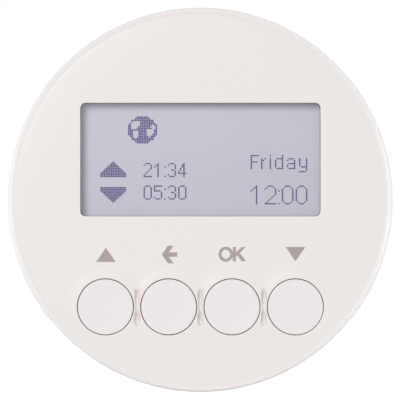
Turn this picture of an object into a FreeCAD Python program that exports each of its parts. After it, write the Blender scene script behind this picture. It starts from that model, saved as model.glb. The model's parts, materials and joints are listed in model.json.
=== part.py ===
import FreeCAD, Part
import math
import os

# Plug-on control module of a flush-mounted programmable timer.
#
# Frame: X points right and Z up, and the front faces -Y. The Y axis is the axis of the round cover, and
# Y = 0 is the rear edge of its skirt, which lies against the support ring. All sizes are in millimetres.
# "front" and "rear" in the functions below are positions along Y, so front is always the smaller number.

V = FreeCAD.Vector
DEPTH = V(0, 1, 0)

# ---- Driving dimensions -------------------------------------------------------------------------------

# Front cover
COVER_RADIUS = 29.0
COVER_DEPTH = 11.4
SKIRT_WALL = 1.6
FACE_WALL = 1.8
RIM_FILLET = 1.4
CROWN_START_RADIUS = 20.0
CROWN_DROP = 0.36

# Window and display opening
WINDOW_WIDTH = 36.2
WINDOW_HEIGHT = 17.1
WINDOW_CORNER = 0.8
WINDOW_Z = 6.1
WINDOW_RECESS = 1.5

# Layers behind the window, from front to rear
WINDOW_PLATE_THICKNESS = 1.0
GASKET_THICKNESS = 0.3
POLARISER_THICKNESS = 0.2
GLASS_THICKNESS = 0.7
DIFFUSER_THICKNESS = 0.2
LIGHT_GUIDE_THICKNESS = 1.5
REFLECTOR_THICKNESS = 0.15
CARRIER_FLOOR = 0.8
CARRIER_FOOT = 0.35
BOARD_THICKNESS = 1.6
FLANGE_THICKNESS = 1.8

# Outlines of those layers
WINDOW_PLATE_WIDTH = 38.4
WINDOW_PLATE_HEIGHT = 19.4
GASKET_BORDER = 0.9
GLASS_WIDTH = 38.6
GLASS_HEIGHT = 20.0
GLASS_LEDGE = 3.1
POLARISER_WIDTH = 37.8
POLARISER_HEIGHT = 18.8
LAYER_CORNER = 0.8
RIB_WALL = 1.0
CARRIER_WALL = 1.0

# Push buttons
BUTTON_NAMES = ("up", "back", "ok", "down")
BUTTON_PITCH = 9.54
BUTTON_Z = -16.1
BUTTON_HOLE_RADIUS = 4.325
BUTTON_CAP_RADIUS = 4.175
BUTTON_TRAVEL = 0.3
BUTTON_SETBACK = 0.05
BUTTON_EDGE = 0.2
BUTTON_FACE_HOLLOW = 0.08
BUTTON_LUG_RADIUS = 5.3
BUTTON_LUG_HALF_WIDTH = 4.45
BUTTON_LUG_THICKNESS = 0.65
BUTTON_STEM_RADIUS = 1.6
LIP_HEIGHT = 0.2
LIP_FOOT_RADIUS = 5.35

# Guide plate behind the caps, and the posts that carry it
GUIDE_STOP_GAP = 0.2
GUIDE_THICKNESS = 0.8
GUIDE_TOP = -9.8
GUIDE_BOTTOM = -22.2
GUIDE_HALF_WIDTH = 21.8
GUIDE_ROUND = 26.4
POST_PLACES = ((0.0, -10.9), (0.0, -21.3), (-20.4, -13.2), (20.4, -13.2))
POST_RADIUS = 0.8
POST_SHOULDER_RADIUS = 1.4
POST_HEAD_RADIUS = 1.3
POST_HEAD_THICKNESS = 0.35

# Tactile switches
SWITCH_SIDE = 6.0
SWITCH_BASE_HEIGHT = 2.6
SWITCH_PLATE = 0.2
SWITCH_WELL_RADIUS = 2.4
SWITCH_WELL_DEPTH = 1.5
PLUNGER_RADIUS = 1.75
PLUNGER_TOP_HEIGHT = 3.5
PLUNGER_FLANGE_RADIUS = 2.2
PLUNGER_FLANGE_THICKNESS = 0.4
PLUNGER_NIB_RADIUS = 1.0
DOME_RADIUS = 2.1
DOME_RISE = 0.5
DOME_SHEET = 0.08

# Screws and their bosses
SCREW_CIRCLE_RADIUS = 24.4
UPPER_SCREW_X = 8.2
LOWER_SCREW_X = 9.54
BOSS_RADIUS = 2.2
SCREW_SHANK_RADIUS = 0.95
SCREW_HOLE_RADIUS = 1.0
SCREW_CLEARANCE_RADIUS = 1.2
SCREW_LENGTH = 7.0
SCREW_HEAD_RADIUS = 1.75
SCREW_HEAD_THICKNESS = 1.0
COUNTERBORE_RADIUS = 1.9
COUNTERBORE_DEPTH = 1.1

# Circuit board
BOARD_RADIUS = 26.6
BOARD_KEY_WIDTH = 1.5
BOARD_KEY_DEPTH = 1.2

# Parts on the board's rear side, each by the centre of its footprint
CONTROLLER_X = -8.0
CONTROLLER_Z = 9.2
CONTROLLER_SIDE = 10.0
CONTROLLER_HEIGHT = 1.4
CONTROLLER_STANDOFF = 0.1
CONTROLLER_LEADS_PER_SIDE = 11
CONTROLLER_LEAD_PITCH = 0.8
MEMORY_X = -10.0
MEMORY_Z = -8.5
CRYSTAL_LEFT = -4.5
CRYSTAL_Z = -7.0
CRYSTAL_RADIUS = 1.0
CRYSTAL_LENGTH = 6.0
BACKUP_X = 9.0
BACKUP_Z = 9.4
BACKUP_RADIUS = 5.25
BACKUP_HEIGHT = 5.5
FILTER_X = 10.5
FILTER_Z = -9.5
FILTER_RADIUS = 3.15
FILTER_HEIGHT = 7.0
PASSIVE_ROWS_Z = (-12.5, -15.0)
PASSIVES_PER_ROW = 5
PASSIVE_PITCH = 3.0

# Rear housing
FLANGE_RADIUS = 27.1
COLLAR_RADIUS = 22.0
COLLAR_REAR = 3.0
SPIGOT_RADIUS = 21.4
SPIGOT_REAR = 8.5
SPIGOT_INNER_RADIUS = 20.0
HOUSING_FLOOR = 1.5
TONGUE_ANGLES = (45, 135, 225, 315)
TONGUE_WIDTH = 7.0
TONGUE_SLOT = 0.8
SNAP_RADIUS = 22.2

# Plug to the wall insert
PIN_COLUMNS = 6
PIN_ROWS = 2
PIN_PITCH = 2.54
PIN_SIDE = 0.64
PIN_LENGTH_BEYOND_FLOOR = 5.5
PLUG_SHROUD_WALL = 1.2
PLUG_SHROUD_HEIGHT = 4.0
PLUG_CLEARANCE = 0.3

# ---- Depths worked out from the driving dimensions ----------------------------------------------------

FACE_FRONT = -COVER_DEPTH
FACE_REAR = FACE_FRONT + FACE_WALL
WINDOW_PLATE_FRONT = FACE_FRONT + WINDOW_RECESS
WINDOW_PLATE_REAR = WINDOW_PLATE_FRONT + WINDOW_PLATE_THICKNESS
GASKET_REAR = WINDOW_PLATE_REAR + GASKET_THICKNESS
FRONT_GLASS_FRONT = GASKET_REAR + POLARISER_THICKNESS
REAR_GLASS_FRONT = FRONT_GLASS_FRONT + GLASS_THICKNESS
REAR_GLASS_REAR = REAR_GLASS_FRONT + GLASS_THICKNESS
DIFFUSER_FRONT = REAR_GLASS_REAR + POLARISER_THICKNESS
LIGHT_GUIDE_FRONT = DIFFUSER_FRONT + DIFFUSER_THICKNESS
LIGHT_GUIDE_REAR = LIGHT_GUIDE_FRONT + LIGHT_GUIDE_THICKNESS
CARRIER_FLOOR_FRONT = LIGHT_GUIDE_REAR + REFLECTOR_THICKNESS
CARRIER_FLOOR_REAR = CARRIER_FLOOR_FRONT + CARRIER_FLOOR
BOARD_FRONT = CARRIER_FLOOR_REAR + CARRIER_FOOT
BOARD_REAR = BOARD_FRONT + BOARD_THICKNESS
FLANGE_REAR = BOARD_REAR + FLANGE_THICKNESS
HOUSING_FLOOR_FRONT = SPIGOT_REAR - HOUSING_FLOOR

RIB_REAR = FRONT_GLASS_FRONT - 0.05
CARRIER_FRONT = RIB_REAR + 0.15
LIP_FRONT = FACE_FRONT - LIP_HEIGHT
BUTTON_FACE = LIP_FRONT + BUTTON_SETBACK
BUTTON_LUG_FRONT = FACE_REAR + 0.05
BUTTON_LUG_REAR = BUTTON_LUG_FRONT + BUTTON_LUG_THICKNESS
GUIDE_FRONT = BUTTON_LUG_REAR + BUTTON_TRAVEL + GUIDE_STOP_GAP
GUIDE_REAR = GUIDE_FRONT + GUIDE_THICKNESS
SWITCH_PLATE_REAR = BOARD_FRONT - SWITCH_BASE_HEIGHT
SWITCH_PLATE_FRONT = SWITCH_PLATE_REAR - SWITCH_PLATE
SWITCH_WELL_FLOOR = SWITCH_PLATE_REAR + SWITCH_WELL_DEPTH
PLUNGER_FRONT = BOARD_FRONT - PLUNGER_TOP_HEIGHT
BUTTON_STEM_REAR = PLUNGER_FRONT - 0.05

# Sides of the display layers
GLASS_TOP = WINDOW_Z + GLASS_HEIGHT / 2
GLASS_BOTTOM = WINDOW_Z - GLASS_HEIGHT / 2
LEDGE_BOTTOM = GLASS_BOTTOM - GLASS_LEDGE
LAYER_GAP = 0.1
CARRIER_HALF_WIDTH = GLASS_WIDTH / 2 + LAYER_GAP + CARRIER_WALL
CARRIER_TOP = GLASS_TOP + LAYER_GAP + CARRIER_WALL
CARRIER_BOTTOM = LEDGE_BOTTOM - LAYER_GAP - CARRIER_WALL
CARRIER_CORNER = 2.0

RIBBON_HALF_WIDTH = 5.5
RIBBON_THICKNESS = 0.12
LED_WIDTH = 1.2
LED_HEIGHT = 3.0
LED_PITCH = 6.0

CARRIER_PEG_RADIUS = 0.7
CARRIER_PEG_PLACES = ((-17.0, 13.5), (17.0, 13.5), (-17.0, -4.5), (17.0, -4.5))


# ---- Small helpers ------------------------------------------------------------------------------------

def disc(radius, front, rear, x=0.0, z=0.0):
    """A cylinder between two depths, on an axis parallel to Y."""
    return Part.makeCylinder(radius, rear - front, V(x, front, z), DEPTH)


def ring(outer, inner, front, rear, x=0.0, z=0.0):
    """A round tube between two depths."""
    return disc(outer, front, rear, x, z).cut(disc(inner, front, rear, x, z))


def slab(left, right, front, rear, bottom, top):
    """A box given by its six sides."""
    return Part.makeBox(right - left, rear - front, top - bottom, V(left, front, bottom))


def edges_along_depth(shape):
    """The straight edges of a shape that run parallel to Y."""
    found = []
    for edge in shape.Edges:
        if isinstance(edge.Curve, Part.Line) and abs(edge.Curve.Direction.y) > 0.999:
            found.append(edge)
    return found


def circle_edges(shape, radius, depth):
    """The circular edges of one radius about the Y axis, at one depth."""
    found = []
    for edge in shape.Edges:
        if not isinstance(edge.Curve, Part.Circle):
            continue
        same_radius = abs(edge.Curve.Radius - radius) < 0.001
        if same_radius and abs(edge.Curve.Center.y - depth) < 0.001:
            found.append(edge)
    return found


def rounded_slab(width, height, front, rear, corner, x=0.0, z=0.0):
    """A plate about a centre, with its four corners rounded."""
    plate = slab(x - width / 2, x + width / 2, front, rear, z - height / 2, z + height / 2)
    return plate.makeFillet(corner, edges_along_depth(plate))


def turned(points):
    """A solid of revolution about the Y axis from (radius, depth) points."""
    corners = [V(radius, depth, 0) for radius, depth in points]
    profile = Part.Face(Part.makePolygon(corners + corners[:1]))
    return profile.revolve(V(0, 0, 0), DEPTH, 360)


def bent_strip(edges, thickness, width_direction):
    """A strip of sheet that follows a flat path, made to its full width."""
    path = Part.Wire(edges)
    section = path.makeOffset2D(thickness, 0, True, True, False)
    return section.extrude(width_direction)


def fuse(shapes):
    """One solid from several that touch or overlap."""
    return shapes[0].multiFuse(shapes[1:]).removeSplitter()


def spun(shape, degrees):
    """A copy of a shape, turned about the Y axis."""
    copy = shape.copy()
    copy.rotate(V(0, 0, 0), DEPTH, degrees)
    return copy


def button_places():
    """The centre of each button, from left to right."""
    middle = (len(BUTTON_NAMES) - 1) / 2
    return [((index - middle) * BUTTON_PITCH, BUTTON_Z) for index in range(len(BUTTON_NAMES))]


def screw_places():
    """The four screws, all on one circle."""
    upper_z = math.sqrt(SCREW_CIRCLE_RADIUS ** 2 - UPPER_SCREW_X ** 2)
    lower_z = -math.sqrt(SCREW_CIRCLE_RADIUS ** 2 - LOWER_SCREW_X ** 2)
    places = []
    for side in (-1, 1):
        places.append((side * UPPER_SCREW_X, upper_z))
        places.append((side * LOWER_SCREW_X, lower_z))
    return places


# ---- Front cover --------------------------------------------------------------------------------------

def cover_shell():
    """The crowned face and the skirt, with the rim rounded."""
    reach = COVER_RADIUS - CROWN_START_RADIUS
    half = reach / 2
    crown_radius = (reach ** 2 + CROWN_DROP ** 2) / (2 * CROWN_DROP)
    half_drop = crown_radius - math.sqrt(crown_radius ** 2 - half ** 2)
    axis_front = V(0, FACE_FRONT, 0)
    crown_start = V(CROWN_START_RADIUS, FACE_FRONT, 0)
    crown_middle = V(CROWN_START_RADIUS + half, FACE_FRONT + half_drop, 0)
    rim = V(COVER_RADIUS, FACE_FRONT + CROWN_DROP, 0)
    rim_rear = V(COVER_RADIUS, 0, 0)
    axis_rear = V(0, 0, 0)
    outline = Part.Wire([
        Part.LineSegment(axis_front, crown_start).toShape(),
        Part.Arc(crown_start, crown_middle, rim).toShape(),
        Part.LineSegment(rim, rim_rear).toShape(),
        Part.LineSegment(rim_rear, axis_rear).toShape(),
        Part.LineSegment(axis_rear, axis_front).toShape(),
    ])
    solid = Part.Face(outline).revolve(V(0, 0, 0), DEPTH, 360)
    rounded = solid.makeFillet(RIM_FILLET, circle_edges(solid, COVER_RADIUS, FACE_FRONT + CROWN_DROP))
    hollow = disc(COVER_RADIUS - SKIRT_WALL, FACE_REAR, 1.0)
    return rounded.cut(hollow)


def button_lip(x, z):
    """The low rounded lip around one button, which slopes down to the face."""
    width = LIP_FOOT_RADIUS - BUTTON_HOLE_RADIUS
    round_radius = (width ** 2 + LIP_HEIGHT ** 2) / (2 * LIP_HEIGHT)
    centre_depth = LIP_FRONT + round_radius
    below_face = FACE_FRONT + 0.8
    inside = BUTTON_HOLE_RADIUS - 0.5

    def on_round(degrees):
        turn = math.radians(degrees)
        radius = BUTTON_HOLE_RADIUS + round_radius * math.sin(turn)
        return V(radius, centre_depth - round_radius * math.cos(turn), 0)

    buried_degrees = 34
    round_end = on_round(buried_degrees)
    outline = Part.Wire([
        Part.LineSegment(V(inside, LIP_FRONT, 0), on_round(0)).toShape(),
        Part.Arc(on_round(0), on_round(buried_degrees / 2), round_end).toShape(),
        Part.LineSegment(round_end, V(round_end.x, below_face, 0)).toShape(),
        Part.LineSegment(V(round_end.x, below_face, 0), V(inside, below_face, 0)).toShape(),
        Part.LineSegment(V(inside, below_face, 0), V(inside, LIP_FRONT, 0)).toShape(),
    ])
    lip = Part.Face(outline).revolve(V(0, 0, 0), DEPTH, 360)
    lip.translate(V(x, 0, z))
    return lip


def window_rib():
    """The rib frame that holds the window plate from behind."""
    inner_width = WINDOW_PLATE_WIDTH + 2 * LAYER_GAP
    inner_height = WINDOW_PLATE_HEIGHT + 2 * LAYER_GAP
    outer = rounded_slab(
        inner_width + 2 * RIB_WALL, inner_height + 2 * RIB_WALL, FACE_REAR, RIB_REAR,
        LAYER_CORNER + RIB_WALL, 0, WINDOW_Z)
    inner = rounded_slab(inner_width, inner_height, FACE_REAR, RIB_REAR, LAYER_CORNER, 0, WINDOW_Z)
    return outer.cut(inner)


def stake_post(x, z):
    """A post with a shoulder for the guide plate and a head formed over it."""
    shoulder = disc(POST_SHOULDER_RADIUS, FACE_REAR, GUIDE_FRONT, x, z)
    shaft = disc(POST_RADIUS, GUIDE_FRONT, GUIDE_REAR, x, z)
    head = disc(POST_HEAD_RADIUS, GUIDE_REAR, GUIDE_REAR + POST_HEAD_THICKNESS, x, z)
    return fuse([shoulder, shaft, head])


def locating_rib(side):
    """A rib inside the skirt that keeps the board from turning."""
    inside = COVER_RADIUS - SKIRT_WALL
    first = side * (inside - BOARD_KEY_DEPTH)
    second = side * (inside + SKIRT_WALL / 2)
    half = BOARD_KEY_WIDTH / 2
    return slab(min(first, second), max(first, second), FACE_REAR, BOARD_REAR - 0.1, -half, half)


def front_cover():
    """The moulded front: shell, openings, rib frame, bosses and posts."""
    cover = cover_shell()
    additions = [window_rib(), locating_rib(-1), locating_rib(1)]
    for x, z in screw_places():
        additions.append(disc(BOSS_RADIUS, FACE_REAR, BOARD_FRONT, x, z))
    for x, z in POST_PLACES:
        additions.append(stake_post(x, z))
    for x, z in button_places():
        additions.append(button_lip(x, z))
    cover = cover.multiFuse(additions)
    cuts = [
        rounded_slab(
            WINDOW_WIDTH, WINDOW_HEIGHT, FACE_FRONT - 1.0, FACE_REAR + 1.0, WINDOW_CORNER, 0, WINDOW_Z),
        rounded_slab(
            WINDOW_PLATE_WIDTH + 2 * LAYER_GAP, WINDOW_PLATE_HEIGHT + 2 * LAYER_GAP,
            WINDOW_PLATE_FRONT, FACE_REAR + 0.1, LAYER_CORNER, 0, WINDOW_Z),
    ]
    for x, z in button_places():
        cuts.append(disc(BUTTON_HOLE_RADIUS, LIP_FRONT - 1.0, FACE_REAR + 1.0, x, z))
    for x, z in screw_places():
        cuts.append(disc(SCREW_HOLE_RADIUS, FACE_REAR + 0.5, BOARD_FRONT + 1.0, x, z))
    return cover.cut(cuts).removeSplitter()


# ---- Window, gasket and display -----------------------------------------------------------------------

def display_window():
    """The clear plate behind the opening."""
    return rounded_slab(
        WINDOW_PLATE_WIDTH, WINDOW_PLATE_HEIGHT, WINDOW_PLATE_FRONT, WINDOW_PLATE_REAR,
        LAYER_CORNER, 0, WINDOW_Z)


def window_gasket():
    """The foam frame that keeps dust out of the display."""
    outer = rounded_slab(
        WINDOW_PLATE_WIDTH - 2 * LAYER_GAP, WINDOW_PLATE_HEIGHT - 2 * LAYER_GAP,
        WINDOW_PLATE_REAR, GASKET_REAR, LAYER_CORNER, 0, WINDOW_Z)
    inner = rounded_slab(
        WINDOW_PLATE_WIDTH - 2 * GASKET_BORDER, WINDOW_PLATE_HEIGHT - 2 * GASKET_BORDER,
        WINDOW_PLATE_REAR, GASKET_REAR, LAYER_CORNER / 2, 0, WINDOW_Z)
    return outer.cut(inner)


def polariser(front):
    """A polarising film on one side of the display."""
    return rounded_slab(
        POLARISER_WIDTH, POLARISER_HEIGHT, front, front + POLARISER_THICKNESS,
        LAYER_CORNER / 2, 0, WINDOW_Z)


def lcd_front_glass():
    """The front glass of the display."""
    half = GLASS_WIDTH / 2
    return slab(-half, half, FRONT_GLASS_FRONT, REAR_GLASS_FRONT, GLASS_BOTTOM, GLASS_TOP)


def lcd_rear_glass():
    """The rear glass, longer than the front one by the ledge for the driver."""
    half = GLASS_WIDTH / 2
    return slab(-half, half, REAR_GLASS_FRONT, REAR_GLASS_REAR, LEDGE_BOTTOM, GLASS_TOP)


def lcd_driver_chip():
    """The driver bonded face down on the ledge."""
    half_width = 6.0
    chip_height = 1.0
    top = GLASS_BOTTOM - 0.4
    return slab(-half_width, half_width, REAR_GLASS_FRONT - 0.4, REAR_GLASS_FRONT, top - chip_height, top)


def lcd_ribbon():
    """The flexible circuit from the display's ledge to its connector on the board."""
    along_ledge = REAR_GLASS_FRONT
    first_bend = 0.7
    second_bend = 0.6
    drop_z = CARRIER_BOTTOM - 0.9
    entry = BOARD_FRONT - 0.5
    diagonal = 1 - math.sqrt(0.5)
    start = V(-RIBBON_HALF_WIDTH, along_ledge, LEDGE_BOTTOM + 1.1)
    bend_one_start = V(-RIBBON_HALF_WIDTH, along_ledge, drop_z + first_bend)
    bend_one_middle = V(
        -RIBBON_HALF_WIDTH, along_ledge + first_bend * diagonal, drop_z + first_bend * diagonal)
    bend_one_end = V(-RIBBON_HALF_WIDTH, along_ledge + first_bend, drop_z)
    bend_two_start = V(-RIBBON_HALF_WIDTH, entry - second_bend, drop_z)
    bend_two_middle = V(
        -RIBBON_HALF_WIDTH, entry - second_bend * diagonal, drop_z - second_bend * diagonal)
    bend_two_end = V(-RIBBON_HALF_WIDTH, entry, drop_z - second_bend)
    finish = V(-RIBBON_HALF_WIDTH, entry, drop_z - second_bend - 1.2)
    edges = [
        Part.LineSegment(start, bend_one_start).toShape(),
        Part.Arc(bend_one_start, bend_one_middle, bend_one_end).toShape(),
        Part.LineSegment(bend_one_end, bend_two_start).toShape(),
        Part.Arc(bend_two_start, bend_two_middle, bend_two_end).toShape(),
        Part.LineSegment(bend_two_end, finish).toShape(),
    ]
    return bent_strip(edges, RIBBON_THICKNESS, V(2 * RIBBON_HALF_WIDTH, 0, 0))


def ribbon_connector():
    """The low connector on the board that the ribbon slides into."""
    half_width = RIBBON_HALF_WIDTH + 1.1
    top = CARRIER_BOTTOM - 1.8
    body = slab(-half_width, half_width, BOARD_FRONT - 0.9, BOARD_FRONT, top - 2.3, top)
    mouth = slab(
        -RIBBON_HALF_WIDTH - 0.2, RIBBON_HALF_WIDTH + 0.2, BOARD_FRONT - 0.7, BOARD_FRONT - 0.3,
        top - 1.6, top + 0.1)
    return body.cut(mouth)


# ---- Backlight and carrier ----------------------------------------------------------------------------

def light_guide_left():
    """The left side of the light guide, past the lamps."""
    return -GLASS_WIDTH / 2 + LED_WIDTH + 0.2


def backlight_diffuser():
    """The white film over the light guide."""
    half = GLASS_WIDTH / 2
    return slab(-half, half, DIFFUSER_FRONT, LIGHT_GUIDE_FRONT, GLASS_BOTTOM, GLASS_TOP)


def backlight_guide():
    """The clear block that spreads the light."""
    return slab(
        light_guide_left(), GLASS_WIDTH / 2, LIGHT_GUIDE_FRONT, LIGHT_GUIDE_REAR, GLASS_BOTTOM, GLASS_TOP)


def backlight_reflector():
    """The white film behind the light guide."""
    half = GLASS_WIDTH / 2
    return slab(-half, half, LIGHT_GUIDE_REAR, CARRIER_FLOOR_FRONT, GLASS_BOTTOM, GLASS_TOP)


def backlight_leds():
    """Three side-view lamps along the left side of the light guide."""
    left = -GLASS_WIDTH / 2
    lamps = []
    for step in (-1, 0, 1):
        centre = WINDOW_Z + step * LED_PITCH
        lamps.append(slab(
            left, left + LED_WIDTH, LIGHT_GUIDE_FRONT + 0.05, LIGHT_GUIDE_REAR - 0.05,
            centre - LED_HEIGHT / 2, centre + LED_HEIGHT / 2))
    return Part.makeCompound(lamps)


def lcd_carrier():
    """The tray that holds the display and the backlight on the board."""
    middle_z = (CARRIER_TOP + CARRIER_BOTTOM) / 2
    height = CARRIER_TOP - CARRIER_BOTTOM
    outer = rounded_slab(
        2 * CARRIER_HALF_WIDTH, height, CARRIER_FRONT, CARRIER_FLOOR_REAR, CARRIER_CORNER, 0, middle_z)
    inner_half = CARRIER_HALF_WIDTH - CARRIER_WALL
    hollow = slab(
        -inner_half, inner_half, CARRIER_FRONT - 1.0, CARRIER_FLOOR_FRONT,
        CARRIER_BOTTOM + CARRIER_WALL, CARRIER_TOP - CARRIER_WALL)
    shelf = slab(
        -inner_half, inner_half, REAR_GLASS_REAR, CARRIER_FLOOR_FRONT,
        CARRIER_BOTTOM + CARRIER_WALL, GLASS_BOTTOM - LAYER_GAP)
    ribbon_notch = slab(
        -RIBBON_HALF_WIDTH - 0.3, RIBBON_HALF_WIDTH + 0.3, CARRIER_FRONT - 1.0, REAR_GLASS_FRONT + 0.5,
        CARRIER_BOTTOM - 1.0, CARRIER_BOTTOM + CARRIER_WALL)
    tray = outer.cut([hollow, ribbon_notch])
    feet = [shelf]
    for x, z in CARRIER_PEG_PLACES:
        feet.append(disc(2 * CARRIER_PEG_RADIUS, CARRIER_FLOOR_REAR, BOARD_FRONT, x, z))
        feet.append(disc(CARRIER_PEG_RADIUS, BOARD_FRONT, BOARD_REAR - 0.1, x, z))
    return fuse([tray] + feet)


# ---- Buttons, guide and switches ----------------------------------------------------------------------

def button_cap(x, z):
    """One cap: a slightly hollow face, two retaining lugs and a stem."""
    head = disc(BUTTON_CAP_RADIUS, BUTTON_FACE, BUTTON_LUG_FRONT, x, z)
    front_edge = []
    for edge in head.Edges:
        if isinstance(edge.Curve, Part.Circle) and abs(edge.Curve.Center.y - BUTTON_FACE) < 0.001:
            front_edge.append(edge)
    head = head.makeFillet(BUTTON_EDGE, front_edge)
    face_radius = BUTTON_CAP_RADIUS - BUTTON_EDGE
    hollow_radius = (face_radius ** 2 + BUTTON_FACE_HOLLOW ** 2) / (2 * BUTTON_FACE_HOLLOW)
    hollow = Part.makeSphere(hollow_radius, V(x, BUTTON_FACE + BUTTON_FACE_HOLLOW - hollow_radius, z))
    lugs = disc(BUTTON_LUG_RADIUS, BUTTON_LUG_FRONT, BUTTON_LUG_REAR, x, z)
    lugs = lugs.common(slab(
        x - BUTTON_LUG_HALF_WIDTH, x + BUTTON_LUG_HALF_WIDTH, BUTTON_LUG_FRONT, BUTTON_LUG_REAR,
        z - BUTTON_LUG_RADIUS, z + BUTTON_LUG_RADIUS))
    stem = disc(BUTTON_STEM_RADIUS, BUTTON_LUG_REAR, BUTTON_STEM_REAR, x, z)
    core = ring(BUTTON_CAP_RADIUS - 1.0, BUTTON_STEM_RADIUS + 0.6, BUTTON_FACE + 1.2, BUTTON_LUG_REAR, x, z)
    return fuse([head.cut(hollow), lugs, stem]).cut(core)


def button_guide():
    """The plate that guides the four stems."""
    plate = slab(-GUIDE_HALF_WIDTH, GUIDE_HALF_WIDTH, GUIDE_FRONT, GUIDE_REAR, GUIDE_BOTTOM, GUIDE_TOP)
    plate = plate.common(disc(GUIDE_ROUND, GUIDE_FRONT, GUIDE_REAR))
    cuts = []
    for x, z in button_places():
        cuts.append(disc(BUTTON_STEM_RADIUS + 0.1, GUIDE_FRONT, GUIDE_REAR, x, z))
    for x, z in POST_PLACES:
        cuts.append(disc(POST_RADIUS + 0.05, GUIDE_FRONT, GUIDE_REAR, x, z))
    for x, z in screw_places():
        cuts.append(disc(BOSS_RADIUS + 0.4, GUIDE_FRONT, GUIDE_REAR, x, z))
    return plate.cut(cuts)


def switch_base(x, z):
    """The moulded base of a tactile switch, with its round well."""
    half = SWITCH_SIDE / 2
    body = slab(x - half, x + half, SWITCH_PLATE_REAR, BOARD_FRONT, z - half, z + half)
    return body.cut(disc(SWITCH_WELL_RADIUS, SWITCH_PLATE_REAR, SWITCH_WELL_FLOOR, x, z))


def switch_cover(x, z):
    """The steel plate over the base, with a hole for the plunger and two bent tabs."""
    half = SWITCH_SIDE / 2
    tab_half = 1.4
    tab_depth = 1.6
    plate = slab(x - half, x + half, SWITCH_PLATE_FRONT, SWITCH_PLATE_REAR, z - half, z + half)
    pieces = [plate]
    for side in (-1, 1):
        inner = z + side * half
        outer = z + side * (half + SWITCH_PLATE)
        pieces.append(slab(
            x - tab_half, x + tab_half, SWITCH_PLATE_FRONT, SWITCH_PLATE_REAR + tab_depth,
            min(inner, outer), max(inner, outer)))
    hole = disc(PLUNGER_RADIUS + 0.1, SWITCH_PLATE_FRONT, SWITCH_PLATE_REAR, x, z)
    return fuse(pieces).cut(hole)


def switch_plunger(x, z):
    """The part of a tactile switch that the stem pushes."""
    flange_front = SWITCH_PLATE_REAR + 0.05
    flange_rear = flange_front + PLUNGER_FLANGE_THICKNESS
    nib_rear = SWITCH_WELL_FLOOR - DOME_RISE - 0.02
    return fuse([
        disc(PLUNGER_RADIUS, PLUNGER_FRONT, flange_front, x, z),
        disc(PLUNGER_FLANGE_RADIUS, flange_front, flange_rear, x, z),
        disc(PLUNGER_NIB_RADIUS, flange_rear, nib_rear, x, z),
    ])


def switch_dome(x, z):
    """The snap dome under the plunger."""
    sphere_radius = (DOME_RADIUS ** 2 + DOME_RISE ** 2) / (2 * DOME_RISE)
    centre = V(x, SWITCH_WELL_FLOOR - DOME_RISE + sphere_radius, z)
    shell = Part.makeSphere(sphere_radius, centre).cut(Part.makeSphere(sphere_radius - DOME_SHEET, centre))
    return shell.common(disc(DOME_RADIUS, SWITCH_WELL_FLOOR - DOME_RISE - 0.1, SWITCH_WELL_FLOOR, x, z))


def switch_terminals():
    """The soldered legs of all four switches."""
    legs = []
    leg_half = 0.35
    leg_reach = 1.0
    leg_sheet = 0.2
    for x, z in button_places():
        for side_x in (-1, 1):
            for side_z in (-1, 1):
                inner = x + side_x * SWITCH_SIDE / 2
                outer = inner + side_x * leg_reach
                centre = z + side_z * 2.25
                legs.append(slab(
                    min(inner, outer), max(inner, outer), BOARD_FRONT - leg_sheet, BOARD_FRONT,
                    centre - leg_half, centre + leg_half))
    return Part.makeCompound(legs)


# ---- Board and its parts ------------------------------------------------------------------------------

def pin_places():
    """The plug's contacts, in rows and columns about the axis."""
    places = []
    for row in range(PIN_ROWS):
        for column in range(PIN_COLUMNS):
            x = (column - (PIN_COLUMNS - 1) / 2) * PIN_PITCH
            z = (row - (PIN_ROWS - 1) / 2) * PIN_PITCH
            places.append((x, z))
    return places


def main_board():
    """The round board, keyed by two notches and drilled for screws, pegs and contacts."""
    board = disc(BOARD_RADIUS, BOARD_FRONT, BOARD_REAR)
    cuts = []
    key_half = BOARD_KEY_WIDTH / 2 + 0.2
    key_inner = COVER_RADIUS - SKIRT_WALL - BOARD_KEY_DEPTH - 0.2
    for side in (-1, 1):
        first = side * key_inner
        second = side * (BOARD_RADIUS + 1.0)
        cuts.append(slab(
            min(first, second), max(first, second), BOARD_FRONT, BOARD_REAR, -key_half, key_half))
    for x, z in screw_places():
        cuts.append(disc(SCREW_CLEARANCE_RADIUS, BOARD_FRONT, BOARD_REAR, x, z))
    for x, z in CARRIER_PEG_PLACES:
        cuts.append(disc(CARRIER_PEG_RADIUS + 0.1, BOARD_FRONT, BOARD_REAR, x, z))
    for x, z in pin_places():
        cuts.append(disc(PIN_SIDE / 2 + 0.18, BOARD_FRONT, BOARD_REAR, x, z))
    return board.cut(cuts)


def controller_chip():
    """The flat-pack controller with its pin-one mark."""
    half = CONTROLLER_SIDE / 2
    front = BOARD_REAR + CONTROLLER_STANDOFF
    rear = front + CONTROLLER_HEIGHT
    body = slab(
        CONTROLLER_X - half, CONTROLLER_X + half, front, rear, CONTROLLER_Z - half, CONTROLLER_Z + half)
    mark_inset = 1.2
    mark = disc(0.5, rear - 0.1, rear, CONTROLLER_X - half + mark_inset, CONTROLLER_Z + half - mark_inset)
    return body.cut(mark)


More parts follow.
